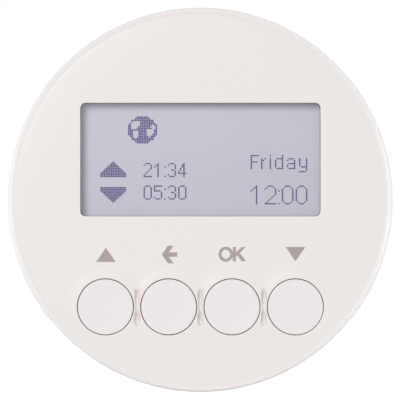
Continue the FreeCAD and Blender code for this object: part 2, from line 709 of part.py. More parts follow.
def controller_leads():
    """The bent leads on the four sides of the controller."""
    sheet = 0.15
    lead_half = 0.18
    shoulder = BOARD_REAR + CONTROLLER_STANDOFF + CONTROLLER_HEIGHT / 2
    reach = CONTROLLER_SIDE / 2
    knee = reach + 0.4
    toe = reach + 0.95
    middle = (CONTROLLER_LEADS_PER_SIDE - 1) / 2
    leads = []
    for quarter in range(4):
        for index in range(CONTROLLER_LEADS_PER_SIDE):
            offset = (index - middle) * CONTROLLER_LEAD_PITCH
            low = offset - lead_half
            high = offset + lead_half
            lead = fuse([
                slab(reach, knee, shoulder - sheet, shoulder, low, high),
                slab(knee - sheet, knee, BOARD_REAR, shoulder, low, high),
                slab(knee - sheet, toe, BOARD_REAR, BOARD_REAR + sheet, low, high),
            ])
            lead = spun(lead, 90 * quarter)
            lead.translate(V(CONTROLLER_X, 0, CONTROLLER_Z))
            leads.append(lead)
    return Part.makeCompound(leads)


def memory_chip():
    """The small memory chip that keeps the switching times, with its eight legs."""
    half_width, half_height, leg_reach = 2.5, 2.0, 3.0
    leg_half, leg_sheet, leg_pitch = 0.2, 0.2, 1.27
    front = BOARD_REAR + 0.1
    pieces = [slab(
        MEMORY_X - half_width, MEMORY_X + half_width, front, front + 1.5,
        MEMORY_Z - half_height, MEMORY_Z + half_height)]
    for index in range(4):
        leg_x = MEMORY_X + (index - 1.5) * leg_pitch
        pieces.append(slab(
            leg_x - leg_half, leg_x + leg_half, BOARD_REAR, BOARD_REAR + leg_sheet,
            MEMORY_Z - leg_reach, MEMORY_Z + leg_reach))
    return fuse(pieces)


def clock_crystal():
    """The crystal of the clock, a small can lying on the board."""
    lead_radius, lead_length, lead_offset = 0.15, 1.6, 0.35
    depth = BOARD_REAR + CRYSTAL_RADIUS
    along = V(1, 0, 0)
    pieces = [Part.makeCylinder(CRYSTAL_RADIUS, CRYSTAL_LENGTH, V(CRYSTAL_LEFT, depth, CRYSTAL_Z), along)]
    for side in (-1, 1):
        start = V(CRYSTAL_LEFT - lead_length, depth, CRYSTAL_Z + side * lead_offset)
        pieces.append(Part.makeCylinder(lead_radius, lead_length, start, along))
    return fuse(pieces)


def rounded_can(radius, front, rear, edge_radius, x, z):
    """An upright round can with both its rims rounded."""
    can = disc(radius, front, rear, x, z)
    rims = [edge for edge in can.Edges if isinstance(edge.Curve, Part.Circle)]
    return can.makeFillet(edge_radius, rims)


def backup_capacitor():
    """The coin-shaped storage capacitor that runs the clock through a power cut."""
    leg_offset, leg_half_width, leg_half_height = 2.5, 0.4, 0.6
    can = rounded_can(BACKUP_RADIUS, BOARD_REAR + 0.3, BOARD_REAR + BACKUP_HEIGHT, 0.6, BACKUP_X, BACKUP_Z)
    pieces = [can]
    for side in (-1, 1):
        leg_x = BACKUP_X + side * leg_offset
        pieces.append(slab(
            leg_x - leg_half_width, leg_x + leg_half_width, BOARD_REAR, BOARD_REAR + 0.5,
            BACKUP_Z - leg_half_height, BACKUP_Z + leg_half_height))
    return fuse(pieces)


def filter_capacitor():
    """The upright electrolytic capacitor of the supply."""
    can = rounded_can(FILTER_RADIUS, BOARD_REAR + 0.4, BOARD_REAR + FILTER_HEIGHT, 0.4, FILTER_X, FILTER_Z)
    seal = disc(FILTER_RADIUS - 0.55, BOARD_REAR, BOARD_REAR + 0.5, FILTER_X, FILTER_Z)
    return fuse([can, seal])


def passive_parts():
    """Two rows of small resistors and capacitors near the plug."""
    half_length, half_width, height = 1.0, 0.625, 0.6
    parts = []
    for row_z in PASSIVE_ROWS_Z:
        for index in range(PASSIVES_PER_ROW):
            x = (index - (PASSIVES_PER_ROW - 1) / 2) * PASSIVE_PITCH
            parts.append(slab(
                x - half_length, x + half_length, BOARD_REAR, BOARD_REAR + height,
                row_z - half_width, row_z + half_width))
    return Part.makeCompound(parts)


# ---- Plug ---------------------------------------------------------------------------------------------

def header_body():
    """The tall moulded body that carries the contacts through the housing's floor."""
    width = PIN_COLUMNS * PIN_PITCH
    height = PIN_ROWS * PIN_PITCH
    body = slab(-width / 2, width / 2, BOARD_REAR, SPIGOT_REAR - 0.2, -height / 2, height / 2)
    half = PIN_SIDE / 2
    holes = []
    for x, z in pin_places():
        holes.append(slab(x - half, x + half, BOARD_REAR, SPIGOT_REAR, z - half, z + half))
    return body.cut(holes)


def header_pins():
    """The square contacts, pointed at their free ends."""
    pins = []
    half = PIN_SIDE / 2
    end = SPIGOT_REAR + PIN_LENGTH_BEYOND_FLOOR
    point = 0.4
    tip_half = half / 2
    for x, z in pin_places():
        shaft = slab(x - half, x + half, BOARD_FRONT + 0.05, end - point, z - half, z + half)
        base = Part.makePolygon([
            V(x - half, end - point, z - half), V(x + half, end - point, z - half),
            V(x + half, end - point, z + half), V(x - half, end - point, z + half),
            V(x - half, end - point, z - half)])
        tip = Part.makePolygon([
            V(x - tip_half, end, z - tip_half), V(x + tip_half, end, z - tip_half),
            V(x + tip_half, end, z + tip_half), V(x - tip_half, end, z + tip_half),
            V(x - tip_half, end, z - tip_half)])
        pins.append(fuse([shaft, Part.makeLoft([base, tip], True, True)]))
    return Part.makeCompound(pins)


# ---- Rear housing and screws --------------------------------------------------------------------------

def plug_opening(extra):
    """Width and height of the plug's body with a border all round."""
    return PIN_COLUMNS * PIN_PITCH + 2 * extra, PIN_ROWS * PIN_PITCH + 2 * extra


def snap_ridges():
    """The ridges on the snap tongues, as pieces of one turned ring."""
    inside = SPIGOT_RADIUS - 0.3
    ridge = turned([
        (inside, 4.9), (SPIGOT_RADIUS, 5.1), (SNAP_RADIUS, 6.3), (SNAP_RADIUS, 6.7),
        (SPIGOT_RADIUS, 7.9), (inside, 8.0)])
    half = TONGUE_WIDTH / 2
    pieces = []
    for angle in TONGUE_ANGLES:
        sector = spun(slab(SPIGOT_INNER_RADIUS, SNAP_RADIUS + 1.0, 4.0, SPIGOT_REAR, -half, half), angle)
        pieces.append(ridge.common(sector))
    return pieces


def tongue_slots(angle):
    """The slots that free one snap tongue on both sides and from the floor."""
    half = TONGUE_WIDTH / 2
    front = COLLAR_REAR + 0.4
    rear = SPIGOT_REAR + 1.0
    inside = SPIGOT_INNER_RADIUS - 1.0
    outside = SPIGOT_RADIUS + 1.5
    slots = []
    for side in (-1, 1):
        first = side * half
        second = side * (half + TONGUE_SLOT)
        slots.append(slab(inside, outside, front, rear, min(first, second), max(first, second)))
    slots.append(slab(inside, SPIGOT_INNER_RADIUS + 0.1, HOUSING_FLOOR_FRONT, rear, -half, half))
    return [spun(slot, angle) for slot in slots]


def floor_vents():
    """Two groups of slots through the floor."""
    vents = []
    for side in (-1, 1):
        for index in range(5):
            x = (index - 2) * 2.6
            vents.append(rounded_slab(
                1.2, 6.0, HOUSING_FLOOR_FRONT, SPIGOT_REAR, 0.55, x, side * 12.2))
    return vents


def wall_vents():
    """Slots through the spigot's wall, at the top and the bottom."""
    vents = []
    for middle in (90, 270):
        for index in range(5):
            slot = slab(SPIGOT_INNER_RADIUS - 1.0, COLLAR_RADIUS + 1.0, 3.8, 6.6, -0.6, 0.6)
            vents.append(spun(slot, middle + (index - 2) * 7.5))
    return vents


def floor_details():
    """A label recess, ejector marks and a mark that points to the top, all shallow."""
    shallow = 0.2
    front = SPIGOT_REAR - shallow
    details = []
    for side in (-1, 1):
        details.append(rounded_slab(4.4, 9.0, front, SPIGOT_REAR, 0.4, side * 15.0, 0.0))
        for z in (-7.4, 7.4):
            details.append(disc(1.1, front, SPIGOT_REAR, side * 11.0, z))
    arrow_corners = [V(-1.2, front, 16.6), V(1.2, front, 16.6), V(0, front, 18.4), V(-1.2, front, 16.6)]
    details.append(Part.Face(Part.makePolygon(arrow_corners)).extrude(V(0, shallow, 0)))
    return details


def rear_housing():
    """The flange and spigot, with snap tongues, vents and the plug's shroud."""
    chamfer = 0.3
    body = turned([
        (0, BOARD_REAR), (FLANGE_RADIUS, BOARD_REAR), (FLANGE_RADIUS, FLANGE_REAR),
        (COLLAR_RADIUS, FLANGE_REAR), (COLLAR_RADIUS, COLLAR_REAR - chamfer),
        (COLLAR_RADIUS - chamfer, COLLAR_REAR), (SPIGOT_RADIUS, COLLAR_REAR),
        (SPIGOT_RADIUS, SPIGOT_REAR), (0, SPIGOT_REAR)])
    body = body.makeFillet(0.6, circle_edges(body, SPIGOT_RADIUS, SPIGOT_REAR))
    body = body.cut(disc(SPIGOT_INNER_RADIUS, BOARD_REAR, HOUSING_FLOOR_FRONT))
    cuts = floor_vents() + wall_vents() + floor_details()
    for angle in TONGUE_ANGLES:
        cuts += tongue_slots(angle)
    for x, z in screw_places():
        cuts.append(disc(SCREW_CLEARANCE_RADIUS, BOARD_REAR, FLANGE_REAR, x, z))
        cuts.append(disc(COUNTERBORE_RADIUS, FLANGE_REAR - COUNTERBORE_DEPTH, FLANGE_REAR + 0.2, x, z))
    inner_width, inner_height = plug_opening(PLUG_CLEARANCE)
    cuts.append(rounded_slab(inner_width, inner_height, HOUSING_FLOOR_FRONT, SPIGOT_REAR, 0.5))
    cuts.append(slab(-1.5, 1.5, FLANGE_REAR, COLLAR_REAR, COLLAR_RADIUS - 1.0, COLLAR_RADIUS + 1.0))
    body = body.cut(cuts)
    shroud_inner = 1.4
    inner_width, inner_height = plug_opening(shroud_inner)
    outer_width, outer_height = plug_opening(shroud_inner + PLUG_SHROUD_WALL)
    shroud_rear = SPIGOT_REAR + PLUG_SHROUD_HEIGHT
    shroud = rounded_slab(outer_width, outer_height, SPIGOT_REAR, shroud_rear, 1.5)
    shroud = shroud.cut([
        rounded_slab(inner_width, inner_height, SPIGOT_REAR, shroud_rear, 0.4),
        slab(-2.0, 2.0, SPIGOT_REAR + 0.8, shroud_rear, inner_height / 2 - 0.5, outer_height / 2 + 0.5),
    ])
    return fuse([body, shroud] + snap_ridges())


def housing_screws():
    """Four pan-head screws with a cross recess."""
    seat = FLANGE_REAR - COUNTERBORE_DEPTH
    head_rear = seat + SCREW_HEAD_THICKNESS
    screws = []
    for x, z in screw_places():
        head = disc(SCREW_HEAD_RADIUS, seat, head_rear, x, z)
        rim = []
        for edge in head.Edges:
            if isinstance(edge.Curve, Part.Circle) and abs(edge.Curve.Center.y - head_rear) < 0.001:
                rim.append(edge)
        head = head.makeFillet(0.4, rim)
        shank = disc(SCREW_SHANK_RADIUS, seat - SCREW_LENGTH, seat, x, z)
        cross = slab(x - 1.0, x + 1.0, head_rear - 0.5, head_rear, z - 0.2, z + 0.2).fuse(
            slab(x - 0.2, x + 0.2, head_rear - 0.5, head_rear, z - 1.0, z + 1.0))
        screws.append(fuse([head, shank]).cut(cross))
    return Part.makeCompound(screws)


# ---- All sub-parts ------------------------------------------------------------------------------------

def all_parts():
    """Every sub-part by its name."""
    parts = {
        "front_cover": front_cover(),
        "display_window": display_window(),
        "window_gasket": window_gasket(),
        "lcd_front_polariser": polariser(GASKET_REAR),
        "lcd_front_glass": lcd_front_glass(),
        "lcd_rear_glass": lcd_rear_glass(),
        "lcd_rear_polariser": polariser(REAR_GLASS_REAR),
        "lcd_driver_chip": lcd_driver_chip(),
        "lcd_ribbon": lcd_ribbon(),
        "ribbon_connector": ribbon_connector(),
        "backlight_diffuser": backlight_diffuser(),
        "backlight_guide": backlight_guide(),
        "backlight_reflector": backlight_reflector(),
        "backlight_leds": backlight_leds(),
        "lcd_carrier": lcd_carrier(),
        "button_guide": button_guide(),
        "switch_terminals": switch_terminals(),
        "main_board": main_board(),
        "controller_chip": controller_chip(),
        "controller_leads": controller_leads(),
        "memory_chip": memory_chip(),
        "clock_crystal": clock_crystal(),
        "backup_capacitor": backup_capacitor(),
        "filter_capacitor": filter_capacitor(),
        "passive_parts": passive_parts(),
        "header_body": header_body(),
        "header_pins": header_pins(),
        "rear_housing": rear_housing(),
        "housing_screws": housing_screws(),
    }
    for name, (x, z) in zip(BUTTON_NAMES, button_places()):
        parts["button_" + name] = button_cap(x, z)
        parts["switch_base_" + name] = switch_base(x, z)
        parts["switch_cover_" + name] = switch_cover(x, z)
        parts["switch_plunger_" + name] = switch_plunger(x, z)
        parts["switch_dome_" + name] = switch_dome(x, z)
    return parts


def main():
    """Write one STEP file for each sub-part."""
    os.makedirs("parts", exist_ok=True)
    for name, shape in all_parts().items():
        shape.exportStep(os.path.join("parts", name + ".step"))


main()
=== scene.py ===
"""Visual model of a round programmable timer module with a dot display and four push buttons.

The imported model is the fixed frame: X points right, Z up, and the front faces -Y. The building functions
work in millimetres, and new_piece turns them into metres.
"""

import json
import math

import bmesh
import bpy
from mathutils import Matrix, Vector
from mathutils.geometry import delaunay_2d_cdt


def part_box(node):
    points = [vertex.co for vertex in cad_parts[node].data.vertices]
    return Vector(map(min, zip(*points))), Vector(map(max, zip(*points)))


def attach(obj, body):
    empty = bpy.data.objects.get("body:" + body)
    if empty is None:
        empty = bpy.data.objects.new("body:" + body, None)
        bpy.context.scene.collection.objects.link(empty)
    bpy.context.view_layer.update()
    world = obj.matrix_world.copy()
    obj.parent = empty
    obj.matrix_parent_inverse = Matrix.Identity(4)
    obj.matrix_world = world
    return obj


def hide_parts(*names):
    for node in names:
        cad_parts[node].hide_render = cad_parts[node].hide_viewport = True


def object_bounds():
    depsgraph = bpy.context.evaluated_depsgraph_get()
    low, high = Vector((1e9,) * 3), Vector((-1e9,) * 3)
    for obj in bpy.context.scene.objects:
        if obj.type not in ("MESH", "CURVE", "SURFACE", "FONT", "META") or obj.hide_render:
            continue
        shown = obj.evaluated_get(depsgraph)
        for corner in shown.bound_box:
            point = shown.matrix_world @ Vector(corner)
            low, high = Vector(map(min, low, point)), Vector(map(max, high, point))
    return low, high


bl_info = {
    "name": "Programmable timer",
    "version": (1, 0, 0),
    "blender": (4, 5, 0),
    "location": "3D View > Sidebar > Timer",
    "description": "Builds the visible pieces of a round programmable timer around its CAD frame",
    "category": "Add Mesh",
}

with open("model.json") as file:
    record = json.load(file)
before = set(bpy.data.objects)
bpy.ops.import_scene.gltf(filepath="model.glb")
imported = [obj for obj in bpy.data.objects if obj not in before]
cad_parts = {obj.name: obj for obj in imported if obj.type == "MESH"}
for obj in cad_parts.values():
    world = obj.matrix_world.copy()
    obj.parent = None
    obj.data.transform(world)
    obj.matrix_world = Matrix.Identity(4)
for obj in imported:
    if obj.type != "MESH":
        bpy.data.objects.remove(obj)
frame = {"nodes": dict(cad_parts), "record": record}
cad_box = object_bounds()

MM = 0.001
BUTTONS = ("up", "back", "ok", "down")
MODULE = "module"

# Sides of the round outlines
RIM_SIDES, CROWN_SIDES, HOLE_SIDES, LETTER_SIDES, SMALL_SIDES = 288, 180, 144, 64, 48

# Where most values of a noise pattern lie
NOISE_LOW, NOISE_HIGH = 0.3, 0.7


# ---- Settings -------------------------------------------------------------------------------------------

def length(name, description, millimetres):
    """A size that a user can change."""
    return bpy.props.FloatProperty(
        name=name, description=description, default=millimetres * MM, unit="LENGTH", precision=5)


def colour(name, description, value):
    """A colour that a user can change."""
    return bpy.props.FloatVectorProperty(
        name=name, description=description, default=value, size=3, min=0.0, max=1.0, subtype="COLOR")


class TimerSizes(bpy.types.PropertyGroup):
    """Sizes of the pieces made here."""
    face_wall: length("Face wall", "Thickness of the cover's face", 1.8)
    skirt_wall: length("Skirt wall", "Thickness of the cover's skirt", 1.6)
    rim_round: length("Rim round", "Radius between the face and the skirt", 1.4)
    crown_start: length("Crown start", "Radius where the face starts to fall away", 20.0)
    crown_drop: length("Crown drop", "How far the face falls away by the outer radius", 0.36)
    edge_round: length("Edge round", "Softened edge at the openings", 0.07)
    window_width: length("Window width", "Width of the display opening", 36.2)
    window_height: length("Window height", "Height of the display opening", 17.1)
    window_corner: length("Window corner", "Corner radius of the display opening", 0.8)
    window_recess: length("Window recess", "From the flat of the face to the window plate", 1.5)
    # The gasket showing inside the opening is partly the real gasket and partly a painted shade line along
    # the window's edge.
    gasket_edge: length("Gasket edge", "How far the gasket shows inside the display opening", 0.04)
    rebate_width: length("Rebate width", "Width of the rebate for the window plate", 38.6)
    rebate_height: length("Rebate height", "Height of the rebate for the window plate", 19.6)
    hole_radius: length("Button hole", "Radius of the holes for the caps", 4.285)
    groove_middle: length("Groove middle", "Depth of the groove where two button holes are nearest", 0.42)
    groove_ends: length("Groove ends", "Depth of the groove above and below that place", 1.0)
    lip_foot: length("Lip foot", "Radius where a button's lip meets the flat face", 6.2)
    lip_height: length("Lip height", "Height of the lips around the buttons", 0.12)
    cap_radius: length("Cap radius", "Radius of the button caps", 4.175)
    cap_edge: length("Cap edge", "Rounding of the caps' edge", 0.2)
    cap_hollow: length("Cap hollow", "Depth of the shallow finger hollow", 0.08)
    dot_pitch_x: length("Dot pitch across", "Distance between dot columns", 0.261)
    dot_pitch_z: length("Dot pitch up", "Distance between dot rows", 0.2425)
    dot_gap: length("Dot gap", "Clear gap between two dots", 0.045)
    dot_thickness: length("Dot thickness", "Depth of a dark dot", 0.01)
    ink_thickness: length("Ink thickness", "How far the printed marks stand proud", 0.012)


class TimerColours(bpy.types.PropertyGroup):
    """Colours of the pieces made here."""
    cover: colour("Cover", "Moulded cover", (0.857, 0.814, 0.797))
    caps: colour("Caps", "Button caps", (0.85, 0.812, 0.805))
    ink: colour("Ink", "Printed marks", (0.395, 0.351, 0.345))
    display: colour("Display ground", "Light ground of the display", (0.44, 0.426, 0.487))
    dots: colour("Display dots", "Dark dots of the display", (0.055, 0.02, 0.2))
    housing: colour("Housing", "Rear housing", (0.0545, 0.0578, 0.0648))


def setting_names(group):
    """The names of the settings that a user can change."""
    return [name for name in group.bl_rna.properties.keys() if name not in ("name", "rna_type")]


def in_millimetres(group):
    """The sizes of a settings group as plain numbers in millimetres."""
    return {name: getattr(group, name) / MM for name in setting_names(group)}


# ---- Mesh helpers ---------------------------------------------------------------------------------------

def circle(radius, count, x=0.0, z=0.0):
    """Points of a circle about a centre."""
    step = 2 * math.pi / count
    return [(x + radius * math.cos(i * step), z + radius * math.sin(i * step)) for i in range(count)]


def rounded_rectangle(width, height, corner, x, z, across=36, up=17, per_corner=6):
    """Points of a rounded rectangle; their number and order don't depend on its size."""
    half_w, half_h = width / 2 - corner, height / 2 - corner
    corners = []
    for index, (sign_x, sign_z) in enumerate(((1, -1), (1, 1), (-1, 1), (-1, -1))):
        turns = [math.radians(90 * (index - 1) + 90 * i / per_corner) for i in range(per_corner + 1)]
        middle_x, middle_z = x + sign_x * half_w, z + sign_z * half_h
        corners.append([(middle_x + corner * math.cos(t), middle_z + corner * math.sin(t)) for t in turns])
    points = []
    for first, second, count in zip(corners, corners[1:] + corners[:1], (up, across, up, across)):
        (x1, z1), (x2, z2) = first[-1], second[0]
        points += first
        points += [(x1 + (x2 - x1) * i / count, z1 + (z2 - z1) * i / count) for i in range(1, count)]
    return points


def inside_outline(point, outline):
    """Whether a point lies inside a closed outline."""
    x, z = point
    inside = False
    for (x1, z1), (x2, z2) in zip(outline, outline[1:] + outline[:1]):
        if (z1 > z) != (z2 > z) and x < x1 + (z - z1) * (x2 - x1) / (z2 - z1):
            inside = not inside
    return inside


def triangulate(outlines, loose, keep, lines=()):
    """Triangles between closed outlines, through loose points and along open lines, where keep allows."""
    points, edges = [], []
    for closed, outline in [(True, o) for o in outlines] + [(False, line) for line in lines]:
        first = len(points)
        points += outline
        edges += [(first + i, first + i + 1) for i in range(len(outline) - 1)]
        if closed:
            edges.append((len(points) - 1, first))
    points += loose
    found, _, faces, *_ = delaunay_2d_cdt(points, edges, [], 0, 1e-6)
    corners = [tuple(p) for p in found]
    kept = []
    for face in faces:
        middle = tuple(sum(corners[i][axis] for i in face) / len(face) for axis in (0, 1))
        if keep(middle):
            kept.append(tuple(face))
    return corners, kept


def add_sheet(bm, corners, faces, depth):
    """Add a triangulated sheet, with its depth given by a function of x and z."""
    used = sorted({i for face in faces for i in face})
    made = {i: bm.verts.new((corners[i][0], depth(*corners[i]), corners[i][1])) for i in used}
    for face in faces:
        bm.faces.new([made[i] for i in face])


def add_walls(bm, rings):
    """Join rings of points that have the same number of points, or a single one for a closed end."""
    made = [[bm.verts.new(p) for p in ring] for ring in rings]
    for first, second in zip(made, made[1:]):
        count = max(len(first), len(second))
        for i in range(count):
            j = (i + 1) % count
            near = [first[i % len(first)], first[j % len(first)]]
            far = [second[j % len(second)], second[i % len(second)]]
            bm.faces.new(dict.fromkeys(near + far))


def ring_at(outline, depth):
    """An outline as a ring of points; depth is a number or a function of x and z."""
    if callable(depth):
        return [(x, depth(x, z), z) for x, z in outline]
    return [(x, depth, z) for x, z in outline]


def add_turned(bm, profile, count, x=0.0, z=0.0):
    """Add a turned surface from (radius, depth) points about an axis parallel to Y."""
    rings = []
    for radius, depth in profile:
        rings.append([(x, depth, z)] if radius == 0 else ring_at(circle(radius, count, x, z), depth))
    add_walls(bm, rings)


def arc(centre_radius, centre_depth, radius, start, end, steps):
    """Profile points of an arc; 0 degrees points to the front and 90 outwards."""
    points = []
    for i in range(steps + 1):
        turn = math.radians(start + (end - start) * i / steps)
        points.append((centre_radius + radius * math.sin(turn), centre_depth - radius * math.cos(turn)))
    return points


def new_piece(name, bm, sharp_degrees=40, closed=True):
    """A smooth-shaded object in metres from a mesh in millimetres."""
    bmesh.ops.remove_doubles(bm, verts=bm.verts, dist=0.0004)
    open_edges = [edge for edge in bm.edges if len(edge.link_faces) != 2]
    if closed and open_edges:
        raise RuntimeError(f"{name} has {len(open_edges)} open edges, first at {open_edges[0].verts[0].co}")
    bmesh.ops.recalc_face_normals(bm, faces=bm.faces)
    bmesh.ops.scale(bm, vec=(MM, MM, MM), verts=bm.verts)
    mesh = bpy.data.meshes.new(name)
    bm.to_mesh(mesh)
    bm.free()
    mesh.shade_smooth()
    mesh.set_sharp_from_angle(angle=math.radians(sharp_degrees))
    piece = bpy.data.objects.new(name, mesh)
    bpy.context.scene.collection.objects.link(piece)
    return piece


def even_shading(piece):
    """Let the large flat faces decide the shading beside narrow rounded edges."""
    weighted = piece.modifiers.new("Even shading", "WEIGHTED_NORMAL")
    weighted.keep_sharp = True
    weighted.weight = 100


# ---- Places in the frame --------------------------------------------------------------------------------

def middle_of(node):
    """Centre of a CAD node in the face's plane, in millimetres."""
    low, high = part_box(node)
    return (low.x + high.x) / 2 / MM, (low.z + high.z) / 2 / MM


def depths_of(node):
    """Front and rear of a CAD node, in millimetres."""
    low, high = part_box(node)
    return low.y / MM, high.y / MM


def slot_colour(slot):
    """The colour that the record gives a material slot."""
    for entry in frame["record"]["materials"]:
        if entry["slot"] == slot:
            return entry["base_color"]
    raise RuntimeError(f"the record has no material slot {slot}")


def node_slots():
    """The material slot of each CAD node, from the record."""
    return {entry["node"]: entry["material_slot"] for entry in frame["record"]["subparts"]}


# ---- Finishes -------------------------------------------------------------------------------------------

class Finish:
    """A material with its pattern nodes on object coordinates."""

    def __init__(self, name):
        self.name = name
        self.material = bpy.data.materials.new(name)
        self.material.use_nodes = True
        self.tree = self.material.node_tree
        self.shader = self.tree.nodes["Principled BSDF"]
        self.coordinates = self.tree.nodes.new("ShaderNodeTexCoord")

    def node(self, kind, **settings):
        """A new node of the material with its settings."""
        made = self.tree.nodes.new(kind)
        for key, value in settings.items():
            setattr(made, key, value)
        return made

    def link(self, source, target):
        """Connect two sockets."""
        self.tree.links.new(source, target)

    def pattern(self, kind, output, scale, inputs, **settings):
        """An output of a pattern on object coordinates, in patches per metre along each axis."""
        mapping = self.node("ShaderNodeMapping")
        mapping.inputs["Scale"].default_value = scale
        self.link(self.coordinates.outputs["Object"], mapping.inputs["Vector"])
        texture = self.node(kind, **settings)
        for name, value in inputs.items():
            texture.inputs[name].default_value = value
        self.link(mapping.outputs["Vector"], texture.inputs["Vector"])
        return texture.outputs[output]

    def noise(self, scale, stretch=(1, 1, 1)):
        """Cloudy noise with a number of patches per metre, stretched along an axis if asked."""
        scales = [scale * share for share in stretch]
        return self.pattern("ShaderNodeTexNoise", "Fac", scales, {"Scale": 1.0, "Detail": 3.0})

    def cells(self, scale):
        """Distance to the nearest of scattered points, with a number of them per metre."""
        return self.pattern("ShaderNodeTexVoronoi", "Distance", [scale] * 3, {"Scale": 1.0})

    def bands(self, pitch, axis):
        """Even bands along one axis, a whole wave to each pitch in metres."""
        waves_per_unit = 20 / (2 * math.pi)
        return self.pattern(
            "ShaderNodeTexWave", "Fac", [1 / pitch] * 3, {"Scale": 1 / waves_per_unit},
            wave_type="BANDS", bands_direction=axis)

    def colours(self, factor, first, second, low=NOISE_LOW, high=NOISE_HIGH):
        """Base colour between two colours by a pattern."""
        ramp = self.node("ShaderNodeValToRGB")
        for stop, place, value in zip(ramp.color_ramp.elements, (low, high), (first, second)):
            stop.position = place
            stop.color = (*value, 1)
        self.link(factor, ramp.inputs["Fac"])
        self.link(ramp.outputs["Color"], self.shader.inputs["Base Color"])

    def ranged(self, factor, socket, low, high):
        """A shader input between two values by a pattern."""
        limits = self.node("ShaderNodeMapRange")
        ends = {"From Min": NOISE_LOW, "From Max": NOISE_HIGH, "To Min": low, "To Max": high}
        for end, value in ends.items():
            limits.inputs[end].default_value = value
        self.link(factor, limits.inputs["Value"])
        self.link(limits.outputs["Result"], self.shader.inputs[socket])

    def relief(self, factor, height):
        """Surface relief of a height in metres."""
        bump = self.node("ShaderNodeBump")
        bump.inputs["Distance"].default_value = height
        bump.inputs["Strength"].default_value = 1.0
        self.link(factor, bump.inputs["Height"])
        self.link(bump.outputs["Normal"], self.shader.inputs["Normal"])


def shade(value, factor):
    """A colour made lighter or darker."""
    return tuple(min(1.0, channel * factor) for channel in value[:3])


def moulded(name, value, rough, spread=0.04, mottle=0.015, fine=180, grain=1500, height=2e-6, metallic=0.0,
            stretch=(1, 1, 1)):
    """Moulded plastic or worked metal: faint mottling, uneven gloss and a fine surface grain.

    fine and grain are numbers of patches per metre, and height is that of the grain in metres.
    """
    finish = Finish(name)
    gloss_patches = 420
    finish.shader.inputs["Metallic"].default_value = metallic
    finish.colours(finish.noise(fine), shade(value, 1 - mottle), shade(value, 1 + mottle), low=0.2, high=0.8)
    uneven = finish.noise(gloss_patches, stretch=stretch)
    finish.ranged(uneven, "Roughness", rough - spread, rough + spread)
    finish.relief(finish.noise(grain, stretch=stretch), height)
    return finish


def smooth_plastic(name, value):
    """The fine even surface of the cover and the caps."""
    return moulded(name, value, 0.42, spread=0.03, mottle=0.006, fine=1600, grain=700, height=4e-7)


def clear_finish(name, value, alpha, rough):
    """A clear plate that lets the layers behind it show."""
    finish = moulded(name, value, rough, spread=0.01, mottle=0.005, grain=300, height=2e-7)
    finish.shader.inputs["Alpha"].default_value = alpha
    return finish


def foam_finish(name, value):
    """Closed-cell foam with small pores."""
    pores, pore_depth = 4000, 4e-5
    finish = moulded(name, value, 0.9)
    finish.relief(finish.cells(pores), pore_depth)
    return finish


def board_finish(name, value):
    """Solder mask over copper tracks and a glass weave."""
    copper_patches, weave_pitch, weave_height = 450, 0.0004, 3e-6
    finish = moulded(name, value, 0.42, spread=0.06)
    finish.colours(finish.cells(copper_patches), shade(value, 0.8), shade(value, 1.7), low=0.46, high=0.5)
    finish.relief(finish.bands(weave_pitch, "X"), weave_height)
    return finish


def ribbon_finish(name, value):
    """Amber film with copper tracks that run along it."""
    track_pitch = 0.0008
    finish = moulded(name, value, 0.35)
    finish.colours(finish.bands(track_pitch, "X"), shade(value, 0.75), shade(value, 1.5), low=0.45, high=0.55)
    return finish


def guide_finish(name, value):
    """Clear light guide with printed dots that scatter the light."""
    printed_dots, white = 900, (1.0, 1.0, 1.0)
    finish = clear_finish(name, value, alpha=0.3, rough=0.08)
    finish.colours(finish.cells(printed_dots), white, shade(value, 0.95), low=0.2, high=0.3)
    return finish


def display_ground(name, value, sizes):
    """Light ground of the display, glowing partly as backlight and partly as painted fill light, with the
    grid of the dots that are off.
    """
    backlight_and_painted_fill, dot_tint = 0.28, 0.006
    finish = moulded(name, value, 0.5, spread=0.03, height=1e-6)
    # The glow is partly the display's backlight and partly painted fill light that lifts the shade in the
    # window's recess.
    finish.shader.inputs["Emission Color"].default_value = (*value, 1)
    finish.shader.inputs["Emission Strength"].default_value = backlight_and_painted_fill
    columns = finish.bands(sizes.dot_pitch_x, "X")
    rows = finish.bands(sizes.dot_pitch_z, "Z")
    both = finish.node("ShaderNodeMath", operation="MULTIPLY")
    finish.link(columns, both.inputs[0])
    finish.link(rows, both.inputs[1])
    lighter, darker = shade(value, 1 + dot_tint), shade(value, 1 - dot_tint)
    finish.colours(both.outputs["Value"], lighter, darker, low=0.0, high=1.0)
    return finish


